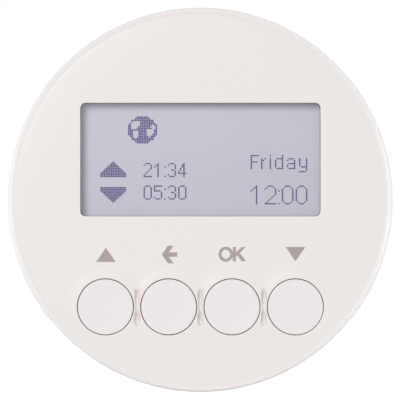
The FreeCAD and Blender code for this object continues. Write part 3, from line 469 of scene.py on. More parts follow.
def node_finishes(sizes, colours):
    """The finish of each material slot whose CAD nodes stay in view or inside the housing."""
    def plain(slot, *values, **more):
        return moulded(slot, slot_colour(slot), *values, **more)

    made = [
        plain("silicon", 0.2, mottle=0.1),
        plain("connector_plastic", 0.55, grain=3000, height=4e-6),
        plain("white_film", 0.6, height=1e-6),
        plain("lamp_resin", 0.3, mottle=0.08),
        plain("carrier_plastic", 0.5, grain=3000, height=4e-6),
        plain("guide_plastic", 0.5, grain=3000, height=4e-6),
        plain("solder_metal", 0.32, metallic=1.0, mottle=0.1, grain=2500, height=8e-6),
        plain("chip_epoxy", 0.6, mottle=0.15, grain=6000, height=6e-6),
        plain("crystal_can", 0.18, metallic=1.0, stretch=(1, 6, 6)),
        plain("capacitor_sleeve", 0.3, mottle=0.12, stretch=(4, 1, 4)),
        plain("chip_ceramic", 0.55, mottle=0.2, grain=5000, height=5e-6),
        plain("switch_plastic", 0.5, mottle=0.12, grain=4000, height=4e-6),
        plain("switch_steel", 0.3, metallic=1.0, mottle=0.05, stretch=(1, 1, 10)),
        plain("dome_steel", 0.22, metallic=1.0, mottle=0.05, stretch=(1, 12, 1)),
        plain("plunger_plastic", 0.45, mottle=0.12, grain=4000, height=3e-6),
        plain("header_plastic", 0.42, mottle=0.12, grain=3500, height=3e-6),
        clear_finish("clear_plastic", (0.95, 0.96, 0.97), alpha=0.03, rough=0.05),
        clear_finish("display_glass", slot_colour("display_glass"), alpha=0.2, rough=0.06),
        board_finish("circuit_board", slot_colour("circuit_board")),
        ribbon_finish("ribbon_film", slot_colour("ribbon_film")),
        guide_finish("light_guide_plastic", slot_colour("light_guide_plastic")),
        display_ground("polariser_film", colours.display, sizes),
        moulded("housing_plastic", colours.housing, 0.5, spread=0.07, mottle=0.08, grain=5200, height=1.4e-5),
    ]
    return {finish.name: finish.material for finish in made}


def paint(piece, material):
    """Give a piece one finish all over."""
    piece.data.materials.clear()
    piece.data.materials.append(material)


# ---- Cover ----------------------------------------------------------------------------------------------

def ease(share):
    """A smooth fall from 1 to 0 as the share goes from 0 to 1."""
    return math.cos(math.pi / 2 * min(max(share, 0.0), 1.0)) ** 2


class CoverShape:
    """Where the surface of the cover's face lies."""

    def __init__(self, size):
        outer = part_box("front_cover")[1]
        self.size = size
        self.radius = outer.x / MM
        self.rear = outer.y / MM
        self.plate_front = depths_of("display_window")[0]
        self.face_front = self.plate_front - size["window_recess"]
        self.face_rear = self.face_front + size["face_wall"]
        reach = self.radius - size["crown_start"]
        self.crown_radius = (reach ** 2 + size["crown_drop"] ** 2) / (2 * size["crown_drop"])
        self.lip_width = size["lip_foot"] - size["hole_radius"]
        self.buttons = [middle_of("button_" + name) for name in BUTTONS]
        self.window = middle_of("display_window")

    def crown(self, x, z):
        """Depth of the face without the lips."""
        over = max(0.0, math.hypot(x, z) - self.size["crown_start"])
        return self.face_front + self.crown_radius - math.sqrt(self.crown_radius ** 2 - over ** 2)

    def groove(self, x, z):
        """How far the face sinks between two neighbouring buttons; towards its ends a groove gets deeper."""
        reach, fade_start, deep_from, deep_at = 3.1, 1.9, 0.5, 1.3
        half_at_middle, wider_at_ends = 0.42, 0.1
        middle, ends = self.size["groove_middle"], self.size["groove_ends"]
        sunk = 0.0
        for (x1, middle_z), (x2, _) in zip(self.buttons, self.buttons[1:]):
            aside, along = abs(x - (x1 + x2) / 2), abs(z - middle_z)
            outward = 1 - ease((along - deep_from) / (deep_at - deep_from))
            half_width = half_at_middle + wider_at_ends * outward
            if aside < half_width and along < reach:
                across = ease(aside / half_width)
                fade = ease((along - fade_start) / (reach - fade_start))
                sunk = max(sunk, across * fade * (middle + (ends - middle) * outward))
        return sunk

    def face(self, x, z):
        """Depth of the face with the lips around the buttons and the grooves between them."""
        depth = self.crown(x, z)
        for button_x, button_z in self.buttons:
            out = max(0.0, math.hypot(x - button_x, z - button_z) - self.size["hole_radius"])
            if out < self.lip_width:
                rise = self.size["lip_height"] * ease(out / self.lip_width)
                depth = min(depth, self.crown(x, z) - rise)
        return depth + self.groove(x, z)


def window_outline(shape, width, height, corner):
    """The outline of a rectangle about the window's centre."""
    return rounded_rectangle(width, height, corner, *shape.window)


def edge_rings(outline_at, depth, edge_round, steps=4):
    """Rings of a softened edge; outline_at gives the outline for a distance outside the opening."""
    rings = []
    for i in range(steps + 1):
        turn = math.pi / 2 * i / steps
        outside = edge_round * (1 - math.sin(turn))
        sunk = edge_round * (1 - math.cos(turn))
        outline = outline_at(outside)
        rings.append([(x, depth(x, z) + sunk, z) for x, z in outline])
    return rings


def between(rim_radius, opening, rounds):
    """A test for a point inside the rim but outside the opening and the round places (x, z, radius)."""
    def keep(point):
        if any(math.hypot(point[0] - x, point[1] - z) < radius for x, z, radius in rounds):
            return False
        return math.hypot(*point) < rim_radius and not inside_outline(point, opening)

    return keep


def face_points(shape, rim_radius):
    """Loose points that carry the crown and the lips."""
    size = shape.size
    lip_rings, past_lip, groove_half = 13, 0.1, 0.32
    crown_step, rim_gap, lip_gap, window_gap, gap_corner = 0.6, 0.3, 0.15, 0.5, 1.0
    hole, lips = size["hole_radius"], shape.lip_width + past_lip
    points = []
    half_pitch = abs(shape.buttons[1][0] - shape.buttons[0][0]) / 2
    for index, (x, z) in enumerate(shape.buttons):
        for step in range(1, lip_rings + 1):
            for px, pz in circle(hole + lips * step / lip_rings, HOLE_SIDES, x, z):
                left_free = index == 0 or px > x - half_pitch + groove_half
                right_free = index == len(BUTTONS) - 1 or px < x + half_pitch - groove_half
                if left_free and right_free:
                    points.append((px, pz))
    clear_width, clear_height = size["window_width"] + 2 * window_gap, size["window_height"] + 2 * window_gap
    keep_clear = window_outline(shape, clear_width, clear_height, gap_corner)
    radius = size["crown_start"]
    while radius < rim_radius - rim_gap:
        for px, pz in circle(radius, CROWN_SIDES):
            near_button = any(math.hypot(px - x, pz - z) < hole + lips + lip_gap for x, z in shape.buttons)
            if not near_button and not inside_outline((px, pz), keep_clear):
                points.append((px, pz))
        radius += crown_step
    return points


def groove_lines(shape):
    """Lines along the grooves between neighbouring lips, which carry their shape."""
    apart, step_up, steps = 0.13, 0.12, 26
    lines = []
    for (x1, z), (x2, _) in zip(shape.buttons, shape.buttons[1:]):
        for place in (-2, -1, 0, 1, 2):
            x = (x1 + x2) / 2 + apart * place
            lines.append([(x, z + step_up * step) for step in range(-steps, steps + 1)])
    return lines


def add_face(bm, shape, rim_radius):
    """The front surface with its softened openings, down to the rear of the face."""
    size = shape.size
    soft = size["edge_round"]

    def window_at(outside):
        return window_outline(
            shape, size["window_width"] + 2 * outside, size["window_height"] + 2 * outside,
            size["window_corner"] + outside)

    rim = circle(rim_radius, RIM_SIDES)
    window = window_at(soft)
    holes = [(x, z, size["hole_radius"] + soft) for x, z in shape.buttons]
    outlines = [rim, window] + [circle(radius, HOLE_SIDES, x, z) for x, z, radius in holes]
    corners, faces = triangulate(
        outlines, face_points(shape, rim_radius), between(rim_radius, window, holes), groove_lines(shape))
    add_sheet(bm, corners, faces, shape.face)
    rings = edge_rings(window_at, shape.face, soft)
    plate_front, rib_wall, rib_past_display = shape.plate_front, 1.0, -0.05
    width, height, corner = size["rebate_width"], size["rebate_height"], size["window_corner"]
    rebate = window_outline(shape, width, height, corner)
    rib = window_outline(shape, width + 2 * rib_wall, height + 2 * rib_wall, corner + rib_wall)
    rib_rear = depths_of("lcd_front_polariser")[1] + rib_past_display
    rings += [ring_at(window_at(0), plate_front), ring_at(rebate, plate_front), ring_at(rebate, rib_rear)]
    rings += [ring_at(rib, rib_rear), ring_at(rib, shape.face_rear)]
    add_walls(bm, rings)
    for x, z in shape.buttons:
        def hole_at(outside):
            return circle(size["hole_radius"] + outside, HOLE_SIDES, x, z)

        add_walls(bm, edge_rings(hole_at, shape.face, soft) + [ring_at(hole_at(0), shape.face_rear)])
    return rib


def add_inside(bm, shape, rib, inner_radius):
    """The rear of the face, with the screw bosses and the guide plate's posts."""
    board_front = depths_of("main_board")[0]
    guide_front, guide_rear = depths_of("button_guide")
    boss_radius, bore_radius, bore_end_wall = 2.2, 1.0, 0.5
    foot_radius, post_radius, head_radius, head_height = 1.4, 0.8, 1.3, 0.35
    bosses = screw_places()
    posts = [(0.0, -10.9), (0.0, -21.3), (-20.4, -13.2), (20.4, -13.2)]
    rounds = [(x, z, shape.size["hole_radius"]) for x, z in shape.buttons]
    rounds += [(x, z, boss_radius) for x, z in bosses] + [(x, z, foot_radius) for x, z in posts]
    counts = [HOLE_SIDES] * len(shape.buttons) + [SMALL_SIDES] * (len(bosses) + len(posts))
    outlines = [circle(inner_radius, RIM_SIDES), rib]
    outlines += [circle(radius, count, x, z) for (x, z, radius), count in zip(rounds, counts)]
    corners, faces = triangulate(outlines, [], between(inner_radius, rib, rounds))
    add_sheet(bm, corners, faces, lambda x, z: shape.face_rear)
    bore_floor = shape.face_rear + bore_end_wall
    head_rear = guide_rear + head_height
    for x, z in bosses:
        profile = [(boss_radius, shape.face_rear), (boss_radius, board_front), (bore_radius, board_front)]
        add_turned(bm, profile + [(bore_radius, bore_floor), (0, bore_floor)], SMALL_SIDES, x, z)
    for x, z in posts:
        profile = [(foot_radius, shape.face_rear), (foot_radius, guide_front), (post_radius, guide_front)]
        profile += [(post_radius, guide_rear), (head_radius, guide_rear), (head_radius, head_rear)]
        add_turned(bm, profile + [(0, head_rear)], SMALL_SIDES, x, z)


def screw_places():
    """Centres of the four housing screws."""
    circle_radius, upper_x, lower_x = 24.4, 8.2, 9.54
    places = []
    for x, side in ((upper_x, 1), (lower_x, -1)):
        z = side * math.sqrt(circle_radius ** 2 - x ** 2)
        places += [(x, z), (-x, z)]
    return places


def make_cover(size):
    """The front cover as one closed shell."""
    shape = CoverShape(size)
    rim_round = size["rim_round"]
    round_centre = shape.radius - rim_round
    offset = round_centre - size["crown_start"]
    crown_middle = shape.face_front + shape.crown_radius
    round_depth = crown_middle - math.sqrt((shape.crown_radius - rim_round) ** 2 - offset ** 2)
    start = math.degrees(math.asin(offset / (shape.crown_radius - rim_round)))
    edge, skirt_depths = 0.12, (-7.0, -4.5, -2.0)
    inner_radius = shape.radius - size["skirt_wall"]
    profile = arc(round_centre, round_depth, rim_round, start, 90, 18)
    profile += [(shape.radius, depth) for depth in skirt_depths]
    profile += arc(shape.radius - edge, shape.rear - edge, edge, 90, 180, 4)
    profile += [(inner_radius + edge, shape.rear), (inner_radius, shape.rear - edge)]
    profile += [(inner_radius, shape.face_rear)]
    bm = bmesh.new()
    rib = add_face(bm, shape, profile[0][0])
    add_turned(bm, profile, RIM_SIDES)
    add_inside(bm, shape, rib, inner_radius)
    return new_piece("cover", bm)


def make_gasket(size):
    """The foam frame between the window plate and the display; its dark inner edge shows inside the opening
    as a thin line, partly the gasket and partly painted shade along the window's edge.
    """
    shape = CoverShape(size)
    low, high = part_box("window_gasket")
    front, rear = depths_of("window_gasket")
    # The dark gasket edge inside the opening is partly the gasket and partly a painted shade line along the
    # window's edge.
    edge, corner = 2 * size["gasket_edge"], size["window_corner"]
    outer = window_outline(shape, (high.x - low.x) / MM, (high.z - low.z) / MM, corner)
    inner = window_outline(shape, size["window_width"] - edge, size["window_height"] - edge, corner)

    def in_frame(point):
        return inside_outline(point, outer) and not inside_outline(point, inner)

    bm = bmesh.new()
    add_plate(bm, [outer, inner], in_frame, front, rear)
    return new_piece("gasket", bm)


# ---- Buttons --------------------------------------------------------------------------------------------

def make_cap(name, size):
    """One button cap: a slightly hollow face, two retaining lugs and a stem."""
    node = "button_" + name
    low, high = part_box(node)
    x, z = middle_of(node)
    front, rear = depths_of(node)
    gap_to_cover, lug_thickness, wall, face_wall, stem, core_inner = 0.05, 0.65, 1.0, 1.2, 1.6, 2.2
    lug_front = CoverShape(size).face_rear + gap_to_cover
    lug_rear = lug_front + lug_thickness
    lug_radius, lug_half = (high.z - low.z) / 2 / MM, (high.x - low.x) / 2 / MM
    radius, edge, hollow = size["cap_radius"], size["cap_edge"], size["cap_hollow"]
    face_radius = radius - edge
    sphere = (face_radius ** 2 + hollow ** 2) / (2 * hollow)
    count = HOLE_SIDES

    def dished(out):
        """Depth of the hollow face at a distance from its middle."""
        return front + hollow - (sphere - math.sqrt(sphere ** 2 - out ** 2))

    steps = 12
    face = [(face_radius * i / steps, dished(face_radius * i / steps)) for i in range(steps + 1)]
    rounded = arc(face_radius, front + edge, edge, 0, 90, 8)[1:]
    sides = face + rounded + [(radius, (front + lug_front) / 2), (radius, lug_front)]
    lug = []
    for i in range(count):
        turn = 2 * math.pi * i / count
        reach = min(lug_radius, lug_half / max(abs(math.cos(turn)), 1e-6))
        lug.append((x + reach * math.cos(turn), z + reach * math.sin(turn)))
    core_outer, core_front = radius - wall, front + face_wall
    back = [(core_outer, lug_rear), (core_outer, core_front), (core_inner, core_front)]
    back += [(core_inner, lug_rear), (stem, lug_rear), (stem, rear), (0, rear)]
    bm = bmesh.new()
    add_turned(bm, sides, count, x, z)
    add_walls(bm, [
        ring_at(circle(radius, count, x, z), lug_front), ring_at(lug, lug_front), ring_at(lug, lug_rear),
        ring_at(circle(core_outer, count, x, z), lug_rear)])
    add_turned(bm, back, count, x, z)
    return new_piece("cap_" + name, bm)


# ---- Printed marks --------------------------------------------------------------------------------------

def add_plate(bm, outlines, keep, front, rear):
    """A thin plate, front and rear, from outlines in the face's plane."""
    corners, faces = triangulate(outlines, [], keep)
    directed = {edge for face in faces for edge in zip(face, face[1:] + face[:1])}
    used = sorted({i for face in faces for i in face})
    fronts = {i: bm.verts.new((corners[i][0], front, corners[i][1])) for i in used}
    rears = {i: bm.verts.new((corners[i][0], rear, corners[i][1])) for i in used}
    for face in faces:
        bm.faces.new([fronts[i] for i in face])
        bm.faces.new([rears[i] for i in reversed(face)])
    for a, b in sorted(directed):
        if (b, a) not in directed:
            bm.faces.new([fronts[a], fronts[b], rears[b], rears[a]])


def make_marks(size):
    """The symbols over the buttons: up, back, OK and down."""
    shape = CoverShape(size)
    front = shape.face_front - size["ink_thickness"]
    rear = shape.face_front + size["ink_thickness"]
    bm = bmesh.new()

    def moved(points, x, z):
        return [(px + x, pz + z) for px, pz in points]

    up_x, back_x, ok_x, down_x = (x for x, _ in shape.buttons)
    triangle = [(-1.48, -1.06), (1.48, -1.06), (0.0, 1.09)]
    back_arrow = [
        (-1.14, 0.0), (-0.27, 1.33), (0.62, 1.33), (-0.12, 0.33), (1.17, 0.33),
        (1.17, -0.33), (-0.12, -0.33), (0.62, -1.33), (-0.27, -1.33)]
    letter_k = [
        (0.0, -1.08), (0.5, -1.08), (0.5, -0.36), (0.68, -0.18), (1.38, -1.08), (2.04, -1.08),
        (1.06, 0.17), (1.98, 1.08), (1.3, 1.08), (0.5, 0.26), (0.5, 1.08), (0.0, 1.08)]
    pointing_down = [(-x, -z) for x, z in triangle]
    for outline, button_x, aside, z in (
            (triangle, up_x, 0.07, -8.28), (pointing_down, down_x, 0.02, -8.14),
            (back_arrow, back_x, 0.12, -8.22)):
        placed = moved(outline, button_x + aside, z)
        add_plate(bm, [placed], lambda point, placed=placed: inside_outline(point, placed), front, rear)
    ring_x, k_x, letters_z = ok_x - 0.94, ok_x + 0.1, -8.17
    outer, inner = (
        [(ring_x + half_width * x, letters_z + half_height * z) for x, z in circle(1.0, LETTER_SIDES)]
        for half_width, half_height in ((1.1, 1.14), (0.64, 0.68)))
    k = moved(letter_k, k_x, letters_z)

    def in_letters(point):
        return inside_outline(point, k) or (inside_outline(point, outer) and not inside_outline(point, inner))

    add_plate(bm, [outer, inner, k], in_letters, front, rear)
    return new_piece("printed_marks", bm)


# ---- Display image --------------------------------------------------------------------------------------

# Each sign is a list of straight strokes on the dot grid: first column, first row, last column, last row.
SMALL_SIGNS = {
    "0": ((1, 0, 3, 0), (1, 8, 3, 8), (0, 1, 0, 7), (4, 1, 4, 7)),
    "1": ((2, 0, 2, 8), (0, 6, 2, 8)),
    "2": ((0, 7, 0, 7), (1, 8, 3, 8), (4, 5, 4, 7), (3, 4, 0, 1), (0, 0, 4, 0)),
    "3": ((0, 7, 0, 7), (1, 8, 3, 8), (4, 5, 4, 7), (2, 4, 3, 4), (4, 1, 4, 3), (1, 0, 3, 0), (0, 1, 0, 1)),
    "4": ((3, 0, 3, 8), (0, 2, 4, 2), (0, 2, 0, 3), (1, 4, 1, 5), (2, 6, 2, 7)),
    "5": ((0, 8, 4, 8), (0, 5, 0, 8), (0, 5, 3, 5), (4, 1, 4, 4), (1, 0, 3, 0), (0, 1, 0, 1)),
    ":": ((0, 0, 0, 0), (0, 6, 0, 6)),
    "F": ((0, 0, 0, 8), (0, 8, 4, 8), (0, 4, 3, 4)),
    "r": ((0, 0, 0, 6), (1, 5, 2, 6)),
    "i": ((0, 0, 0, 6), (0, 8, 0, 8)),
    "d": ((4, 0, 4, 8), (1, 6, 3, 6), (0, 1, 0, 5), (1, 0, 3, 0)),
    "a": ((1, 6, 3, 6), (4, 0, 4, 5), (1, 3, 3, 3), (0, 1, 0, 2), (1, 0, 3, 0), (0, 5, 0, 5)),
    "y": ((0, 2, 0, 6), (4, -1, 4, 6), (1, 1, 3, 1), (0, -2, 3, -2)),
}
LARGE_SIGNS = {
    "0": ((2, 0, 4, 0), (2, 11, 4, 11), (1, 1, 1, 1), (5, 1, 5, 1), (1, 10, 1, 10), (5, 10, 5, 10),
          (0, 2, 0, 9), (6, 2, 6, 9)),
    "1": ((3, 0, 3, 11), (0, 8, 3, 11)),
    "2": ((0, 9, 0, 9), (1, 10, 1, 10), (2, 11, 4, 11), (5, 10, 5, 10), (6, 7, 6, 9), (6, 6, 0, 0),
          (0, 0, 6, 0)),
    ":": ((0, 0, 0, 0), (0, 8, 0, 8)),
}
DISPLAY_COLUMNS, DISPLAY_ROWS = 128, 64


def stroke_dots(strokes, column, row):
    """The dots on a sign's strokes, moved to its place on the display."""
    dots = set()
    for c1, r1, c2, r2 in strokes:
        steps = max(abs(c2 - c1), abs(r2 - r1), 1)
        for i in range(steps + 1):
            dots.add((column + round(c1 + (c2 - c1) * i / steps), row + round(r1 + (r2 - r1) * i / steps)))
    return dots


def text_dots(signs, text, columns, row):
    """The dots of a line of signs, each at its own column."""
    dots = set()
    for sign, column in zip(text, columns):
        dots |= stroke_dots(signs[sign], column, row)
    return dots


def arrow_dots(column, row, direction):
    """A broad arrow, pointing up for direction 1 and down for -1; row is that of its base."""
    dots = set()
    for step in range(10):
        half = min(7, 9 - step)
        dots |= {(column + offset, row + direction * step) for offset in range(-half, half + 1)}
    return dots


def globe_dots(column, row):
    """A round globe with a few plain patches of land left light."""
    land = ((-3.8, 3.7, 2.6, 2.2), (-5.2, 2.0, 1.6, 1.8), (-3.9, -2.6, 1.7, 2.6), (4.3, -1.0, 2.3, 2.0),
            (4.1, -2.6, 1.3, 1.9), (6.2, 2.0, 1.6, 1.3))
    dots = set()
    for x in range(-8, 9):
        for z in range(-8, 9):
            in_land = any(((x - lx) / wide) ** 2 + ((z - lz) / high) ** 2 < 1 for lx, lz, wide, high in land)
            if math.hypot(x, z) < 8.6 and not (in_land and math.hypot(x, z) < 7.6):
                dots.add((column + x, row + z))
    return dots


def display_dots():
    """Every dark dot of the display as (column, row) from its lower left corner."""
    clock = [31, 37, 43, 45, 51]
    dots = text_dots(SMALL_SIGNS, "21:34", clock, 21) | text_dots(SMALL_SIGNS, "05:30", clock, 7)
    dots |= text_dots(SMALL_SIGNS, "Friday", [93, 99, 104, 107, 114, 121], 26)
    dots |= text_dots(LARGE_SIGNS, "12:00", [93, 101, 109, 111, 119], 4)
    return dots | arrow_dots(13, 21, 1) | arrow_dots(13, 14, -1) | globe_dots(30, 50)


def connect(tree, links):
    """Connect pairs of sockets of a node tree."""
    for source, target in links:
        tree.links.new(source, target)


def copies_tree(name, inputs):
    """Geometry nodes that put an instance on every point, make the copies real and give them one finish.

    Each of the inputs is a name, the kind of its socket and the socket's settings.
    """
    tree = bpy.data.node_groups.new(name, "GeometryNodeTree")
    for label, kind, settings in (("Points", "Geometry", {}), *inputs, ("Finish", "Material", {})):
        socket = tree.interface.new_socket(label, in_out="INPUT", socket_type="NodeSocket" + kind)
        for key, value in settings.items():
            setattr(socket, key, value)
    tree.interface.new_socket("Copies", in_out="OUTPUT", socket_type="NodeSocketGeometry")
    kinds = (
        "NodeGroupInput", "GeometryNodeInstanceOnPoints", "GeometryNodeRealizeInstances",
        "GeometryNodeSetMaterial", "NodeGroupOutput")
    start, placed, real, painted, end = (tree.nodes.new(kind) for kind in kinds)
    connect(tree, (
        (start.outputs["Points"], placed.inputs["Points"]),
        (placed.outputs["Instances"], real.inputs["Geometry"]),
        (real.outputs["Geometry"], painted.inputs["Geometry"]),
        (start.outputs["Finish"], painted.inputs["Material"]),
        (painted.outputs["Geometry"], end.inputs["Copies"])))
    return tree, start, placed


def dots_tree():
    """Geometry nodes that put a thin flat dot on every point."""
    distance = {"subtype": "DISTANCE", "default_value": 0.0002}
    sides = ("Dot width", "Dot depth", "Dot height")
    tree, start, placed = copies_tree("Display dots", [(side, "Float", distance) for side in sides])
    size, dot = (tree.nodes.new(kind) for kind in ("ShaderNodeCombineXYZ", "GeometryNodeMeshCube"))
    connect(tree, [(start.outputs[side], size.inputs[axis]) for side, axis in zip(sides, "XYZ")])
    connect(tree, (
        (size.outputs["Vector"], dot.inputs["Size"]), (dot.outputs["Mesh"], placed.inputs["Instance"])))
    return tree


def pattern_tree(name, turned, seed):
    """Geometry nodes that put a copy of a pattern piece on every point, turned at random up to an angle."""
    tree, start, placed = copies_tree(name, (
        ("Pattern", "Object", {}), ("Largest turn", "Float", {"subtype": "ANGLE", "default_value": turned}),
        ("Seed", "Int", {"default_value": seed})))
    kinds = ("GeometryNodeObjectInfo", "FunctionNodeRandomValue", "ShaderNodeCombineXYZ")
    pattern, chance, turn = (tree.nodes.new(kind) for kind in kinds)
    chance.data_type = "FLOAT"
    largest, drawn = chance.inputs[3], chance.outputs[1]
    connect(tree, (
        (start.outputs["Pattern"], pattern.inputs["Object"]),
        (start.outputs["Largest turn"], largest), (start.outputs["Seed"], chance.inputs["Seed"]),
        (drawn, turn.inputs["Y"]), (turn.outputs["Vector"], placed.inputs["Rotation"]),
        (pattern.outputs["Geometry"], placed.inputs["Instance"])))
    return tree


def grown(name, base, tree, inputs):
    """A plain mesh object from a base mesh and a node tree with its inputs set by name."""
    piece = bpy.data.objects.new(name, base)
    bpy.context.scene.collection.objects.link(piece)
    modifier = piece.modifiers.new(tree.name, "NODES")
    modifier.node_group = tree
    names = {item.name: item.identifier for item in tree.interface.items_tree if item.in_out == "INPUT"}
    for key, value in inputs.items():
        modifier[names[key]] = value
    evaluated = piece.evaluated_get(bpy.context.evaluated_depsgraph_get())
    mesh = bpy.data.meshes.new_from_object(evaluated)
    piece.modifiers.remove(modifier)
    piece.data = mesh
    mesh.name = name
    return piece


def make_display_image(sizes, material):
    """The dark dots just in front of the display's film."""
    size = in_millimetres(sizes)
    middle_x, middle_z = middle_of("lcd_front_polariser")
    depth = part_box("lcd_front_polariser")[0].y - sizes.dot_thickness
    points = []
    for column, row in sorted(display_dots()):
        x = middle_x + (column - (DISPLAY_COLUMNS - 1) / 2) * size["dot_pitch_x"]
        z = middle_z + (row - (DISPLAY_ROWS - 1) / 2) * size["dot_pitch_z"]
        points.append((x * MM, depth, z * MM))
    base = bpy.data.meshes.new("display_points")
    base.from_pydata(points, [], [])
    return grown("display_image", base, dots_tree(), {
        "Dot width": sizes.dot_pitch_x - sizes.dot_gap, "Dot depth": sizes.dot_thickness,
        "Dot height": sizes.dot_pitch_z - sizes.dot_gap, "Finish": material})


# ---- Screws and contacts --------------------------------------------------------------------------------

def make_screw(head_height):
    """One pan-head screw with a cross recess, its head at the origin and its shank towards -Y."""
    head_radius, edge, shank, reach = 1.75, 0.4, 0.95, 7.0
    point, point_radius, bevel = 0.8, 0.55 * shank, 0.05
    deep, arm_long, arm_half, floor_share = 0.5, 0.95, 0.19, 0.72
    profile = [(0, -reach), (point_radius, -reach), (shank, -reach + point), (shank, -bevel)]
    profile += [(shank + bevel, 0), (head_radius - bevel, 0), (head_radius, bevel)]
    profile += arc(head_radius - edge, head_height - edge, edge, 90, 180, 6)
    cross = []
    for turn in range(4):
        cos, sin = (1, 0, -1, 0)[turn], (0, 1, 0, -1)[turn]
        for along, aside in ((arm_half, -arm_half), (arm_long, -arm_half), (arm_long, arm_half)):
            cross.append((along * cos - aside * sin, along * sin + aside * cos))
    top = circle(head_radius - edge, SMALL_SIDES)
    bm = bmesh.new()
    add_turned(bm, profile, SMALL_SIDES)

    def keep(point):
        return math.hypot(*point) < head_radius and not inside_outline(point, cross)

    corners, faces = triangulate([top, cross], [], keep)
    add_sheet(bm, corners, faces, lambda x, z: head_height)
    floor = [(floor_share * x, floor_share * z) for x, z in cross]
    add_walls(bm, [ring_at(cross, head_height), ring_at(floor, head_height - deep)])
    corners, faces = triangulate([floor], [], lambda point: inside_outline(point, floor))
    add_sheet(bm, corners, faces, lambda x, z: head_height - deep)
    return new_piece("screw_pattern", bm)


def make_contact():
    """One square contact with a pointed tip towards +Y, its middle on the Y axis."""
    half, corner, point, tip = 0.32, 0.05, 0.45, 0.06
    tip_base, tip_end = 0.5 * half, 0.4 * half
    front, rear = depths_of("header_pins")
    bm = bmesh.new()

    def square(side, depth):
        outline = []
        for sx, sz in ((1, 1), (-1, 1), (-1, -1), (1, -1)):
            first = (sx * side, sz * (side - corner))
            second = (sx * (side - corner), sz * side)
            outline += [first, second] if sx == sz else [second, first]
        return ring_at(outline, depth)

    add_walls(bm, [
        [(0, front, 0)], square(half, front), square(half, rear - point), square(tip_base, rear - tip),
        square(tip_end, rear), [(0, rear, 0)]])
    return new_piece("contact_pattern", bm, sharp_degrees=25)


def make_copies(name, pattern, points, turned, material):
    """Copies of a pattern piece at points in millimetres, as one plain mesh."""
    seed = 3
    base = bpy.data.meshes.new(name + "_points")
    base.from_pydata([(x * MM, y * MM, z * MM) for x, y, z in points], [], [])
    piece = grown(name, base, pattern_tree(name, turned, seed), {
        "Pattern": pattern, "Largest turn": turned, "Seed": seed, "Finish": material})
    bpy.data.objects.remove(pattern)
    return piece


# ---- Floor, light and camera ----------------------------------------------------------------------------

# Soft lamps: name, direction, distance, width and height in metres, brightness
LAMPS = (
    ("Key", (-0.34, -1.0, 0.3), 3.2, 1.0, 1.0, 0.58),
    ("Right", (1.0, -0.1, 0.0), 0.8, 0.3, 0.6, 0.44),
    ("Bottom", (0.0, -0.2, -1.0), 0.8, 0.6, 0.3, 0.34),
    ("Rim left", (-1.0, 0.3, 0.0), 0.8, 0.3, 0.6, 0.4),
    ("Rim right", (1.0, 0.3, 0.0), 0.8, 0.3, 0.6, 0.2),
    ("Rim top", (0.0, 0.3, 1.0), 0.8, 0.6, 0.3, 0.24),
    ("Rear", (0.0, 1.0, 0.0), 1.2, 0.6, 0.6, 0.4),
)


def soft_box(name, direction, distance, width, height, brightness):
    """A large soft lamp; brightness 1 lights white paper that faces it up to white."""
    lamp = bpy.data.lights.new(name, "AREA")
    lamp.shape = "RECTANGLE"
    lamp.size, lamp.size_y = width, height
    lamp.energy = brightness * math.pi ** 2 * distance ** 2
    holder = bpy.data.objects.new(name, lamp)
    toward = Vector(direction).normalized()
    holder.location = toward * distance
    holder.rotation_mode = "QUATERNION"
    holder.rotation_quaternion = toward.to_track_quat("Z", "Y")
    holder.visible_camera = False
    bpy.context.scene.collection.objects.link(holder)


def make_world(seen, lighting):
    """An even pale surround, seen at one brightness and lighting the object at another."""
    world = bpy.data.worlds.new("Surround")
    bpy.context.scene.world = world
    world.use_nodes = True
    nodes, links = world.node_tree.nodes, world.node_tree.links
    nodes.clear()
    path, mix, end = (nodes.new(kind) for kind in (
        "ShaderNodeLightPath", "ShaderNodeMixShader", "ShaderNodeOutputWorld"))
    for index, strength in ((1, lighting), (2, seen)):
        background = nodes.new("ShaderNodeBackground")
        background.inputs["Color"].default_value = (1, 1, 1, 1)
        background.inputs["Strength"].default_value = strength
        links.new(background.outputs["Background"], mix.inputs[index])
    links.new(path.outputs["Is Camera Ray"], mix.inputs[0])
    links.new(mix.outputs["Shader"], end.inputs["Surface"])


def make_floor(glow):
    """A wide pale floor just under the object, which doesn't light it from below."""
    half_side, gap = 600, 0.05
    bm = bmesh.new()
    bmesh.ops.create_grid(bm, x_segments=1, y_segments=1, size=half_side)
    bmesh.ops.translate(bm, vec=(0, 0, cad_box[0].z / MM - gap), verts=bm.verts)
    floor = new_piece("floor", bm, closed=False)
    finish = moulded("floor_paper", (0.9, 0.9, 0.9), 0.9, mottle=0.004)
    finish.shader.inputs["Emission Color"].default_value = (1, 1, 1, 1)
    finish.shader.inputs["Emission Strength"].default_value = glow
    paint(floor, finish.material)
    floor.visible_diffuse = False
    floor.visible_glossy = False
    floor.visible_shadow = False


def make_camera(scene, rim_round):
    """A camera straight in front, which sees a field a little wider than the rim."""
    lens, sensor, field, aside = 600.0, 36.0, 0.06034, -0.00006
    camera = bpy.data.cameras.new("Camera")
    camera.lens, camera.sensor_width = lens, sensor
    camera.clip_start, camera.clip_end = 0.01, 20
    holder = bpy.data.objects.new("Camera", camera)
    widest_rim = cad_box[0].y + rim_round
    holder.location = (aside, widest_rim - field * lens / sensor, 0)
    holder.rotation_euler = (math.pi / 2, 0, 0)
    scene.collection.objects.link(holder)
    scene.camera = holder


# ---- Operators ------------------------------------------------------------------------------------------

def settled(piece, body, replaced=()):
    """Put a finished piece on its body, and let it stand for its CAD nodes."""
    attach(piece, body)
    if replaced:
        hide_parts(*replaced)


class TIMER_OT_node_finishes(bpy.types.Operator):
    """Give every CAD node the finish of its material slot"""
    bl_idname = "timer.node_finishes"
    bl_label = "Finish the CAD nodes"

    def execute(self, context):
        finishes = node_finishes(context.scene.timer_sizes, context.scene.timer_colours)
        for name, slot in node_slots().items():
            if slot in finishes:
                paint(frame["nodes"][name], finishes[slot])
        return {"FINISHED"}


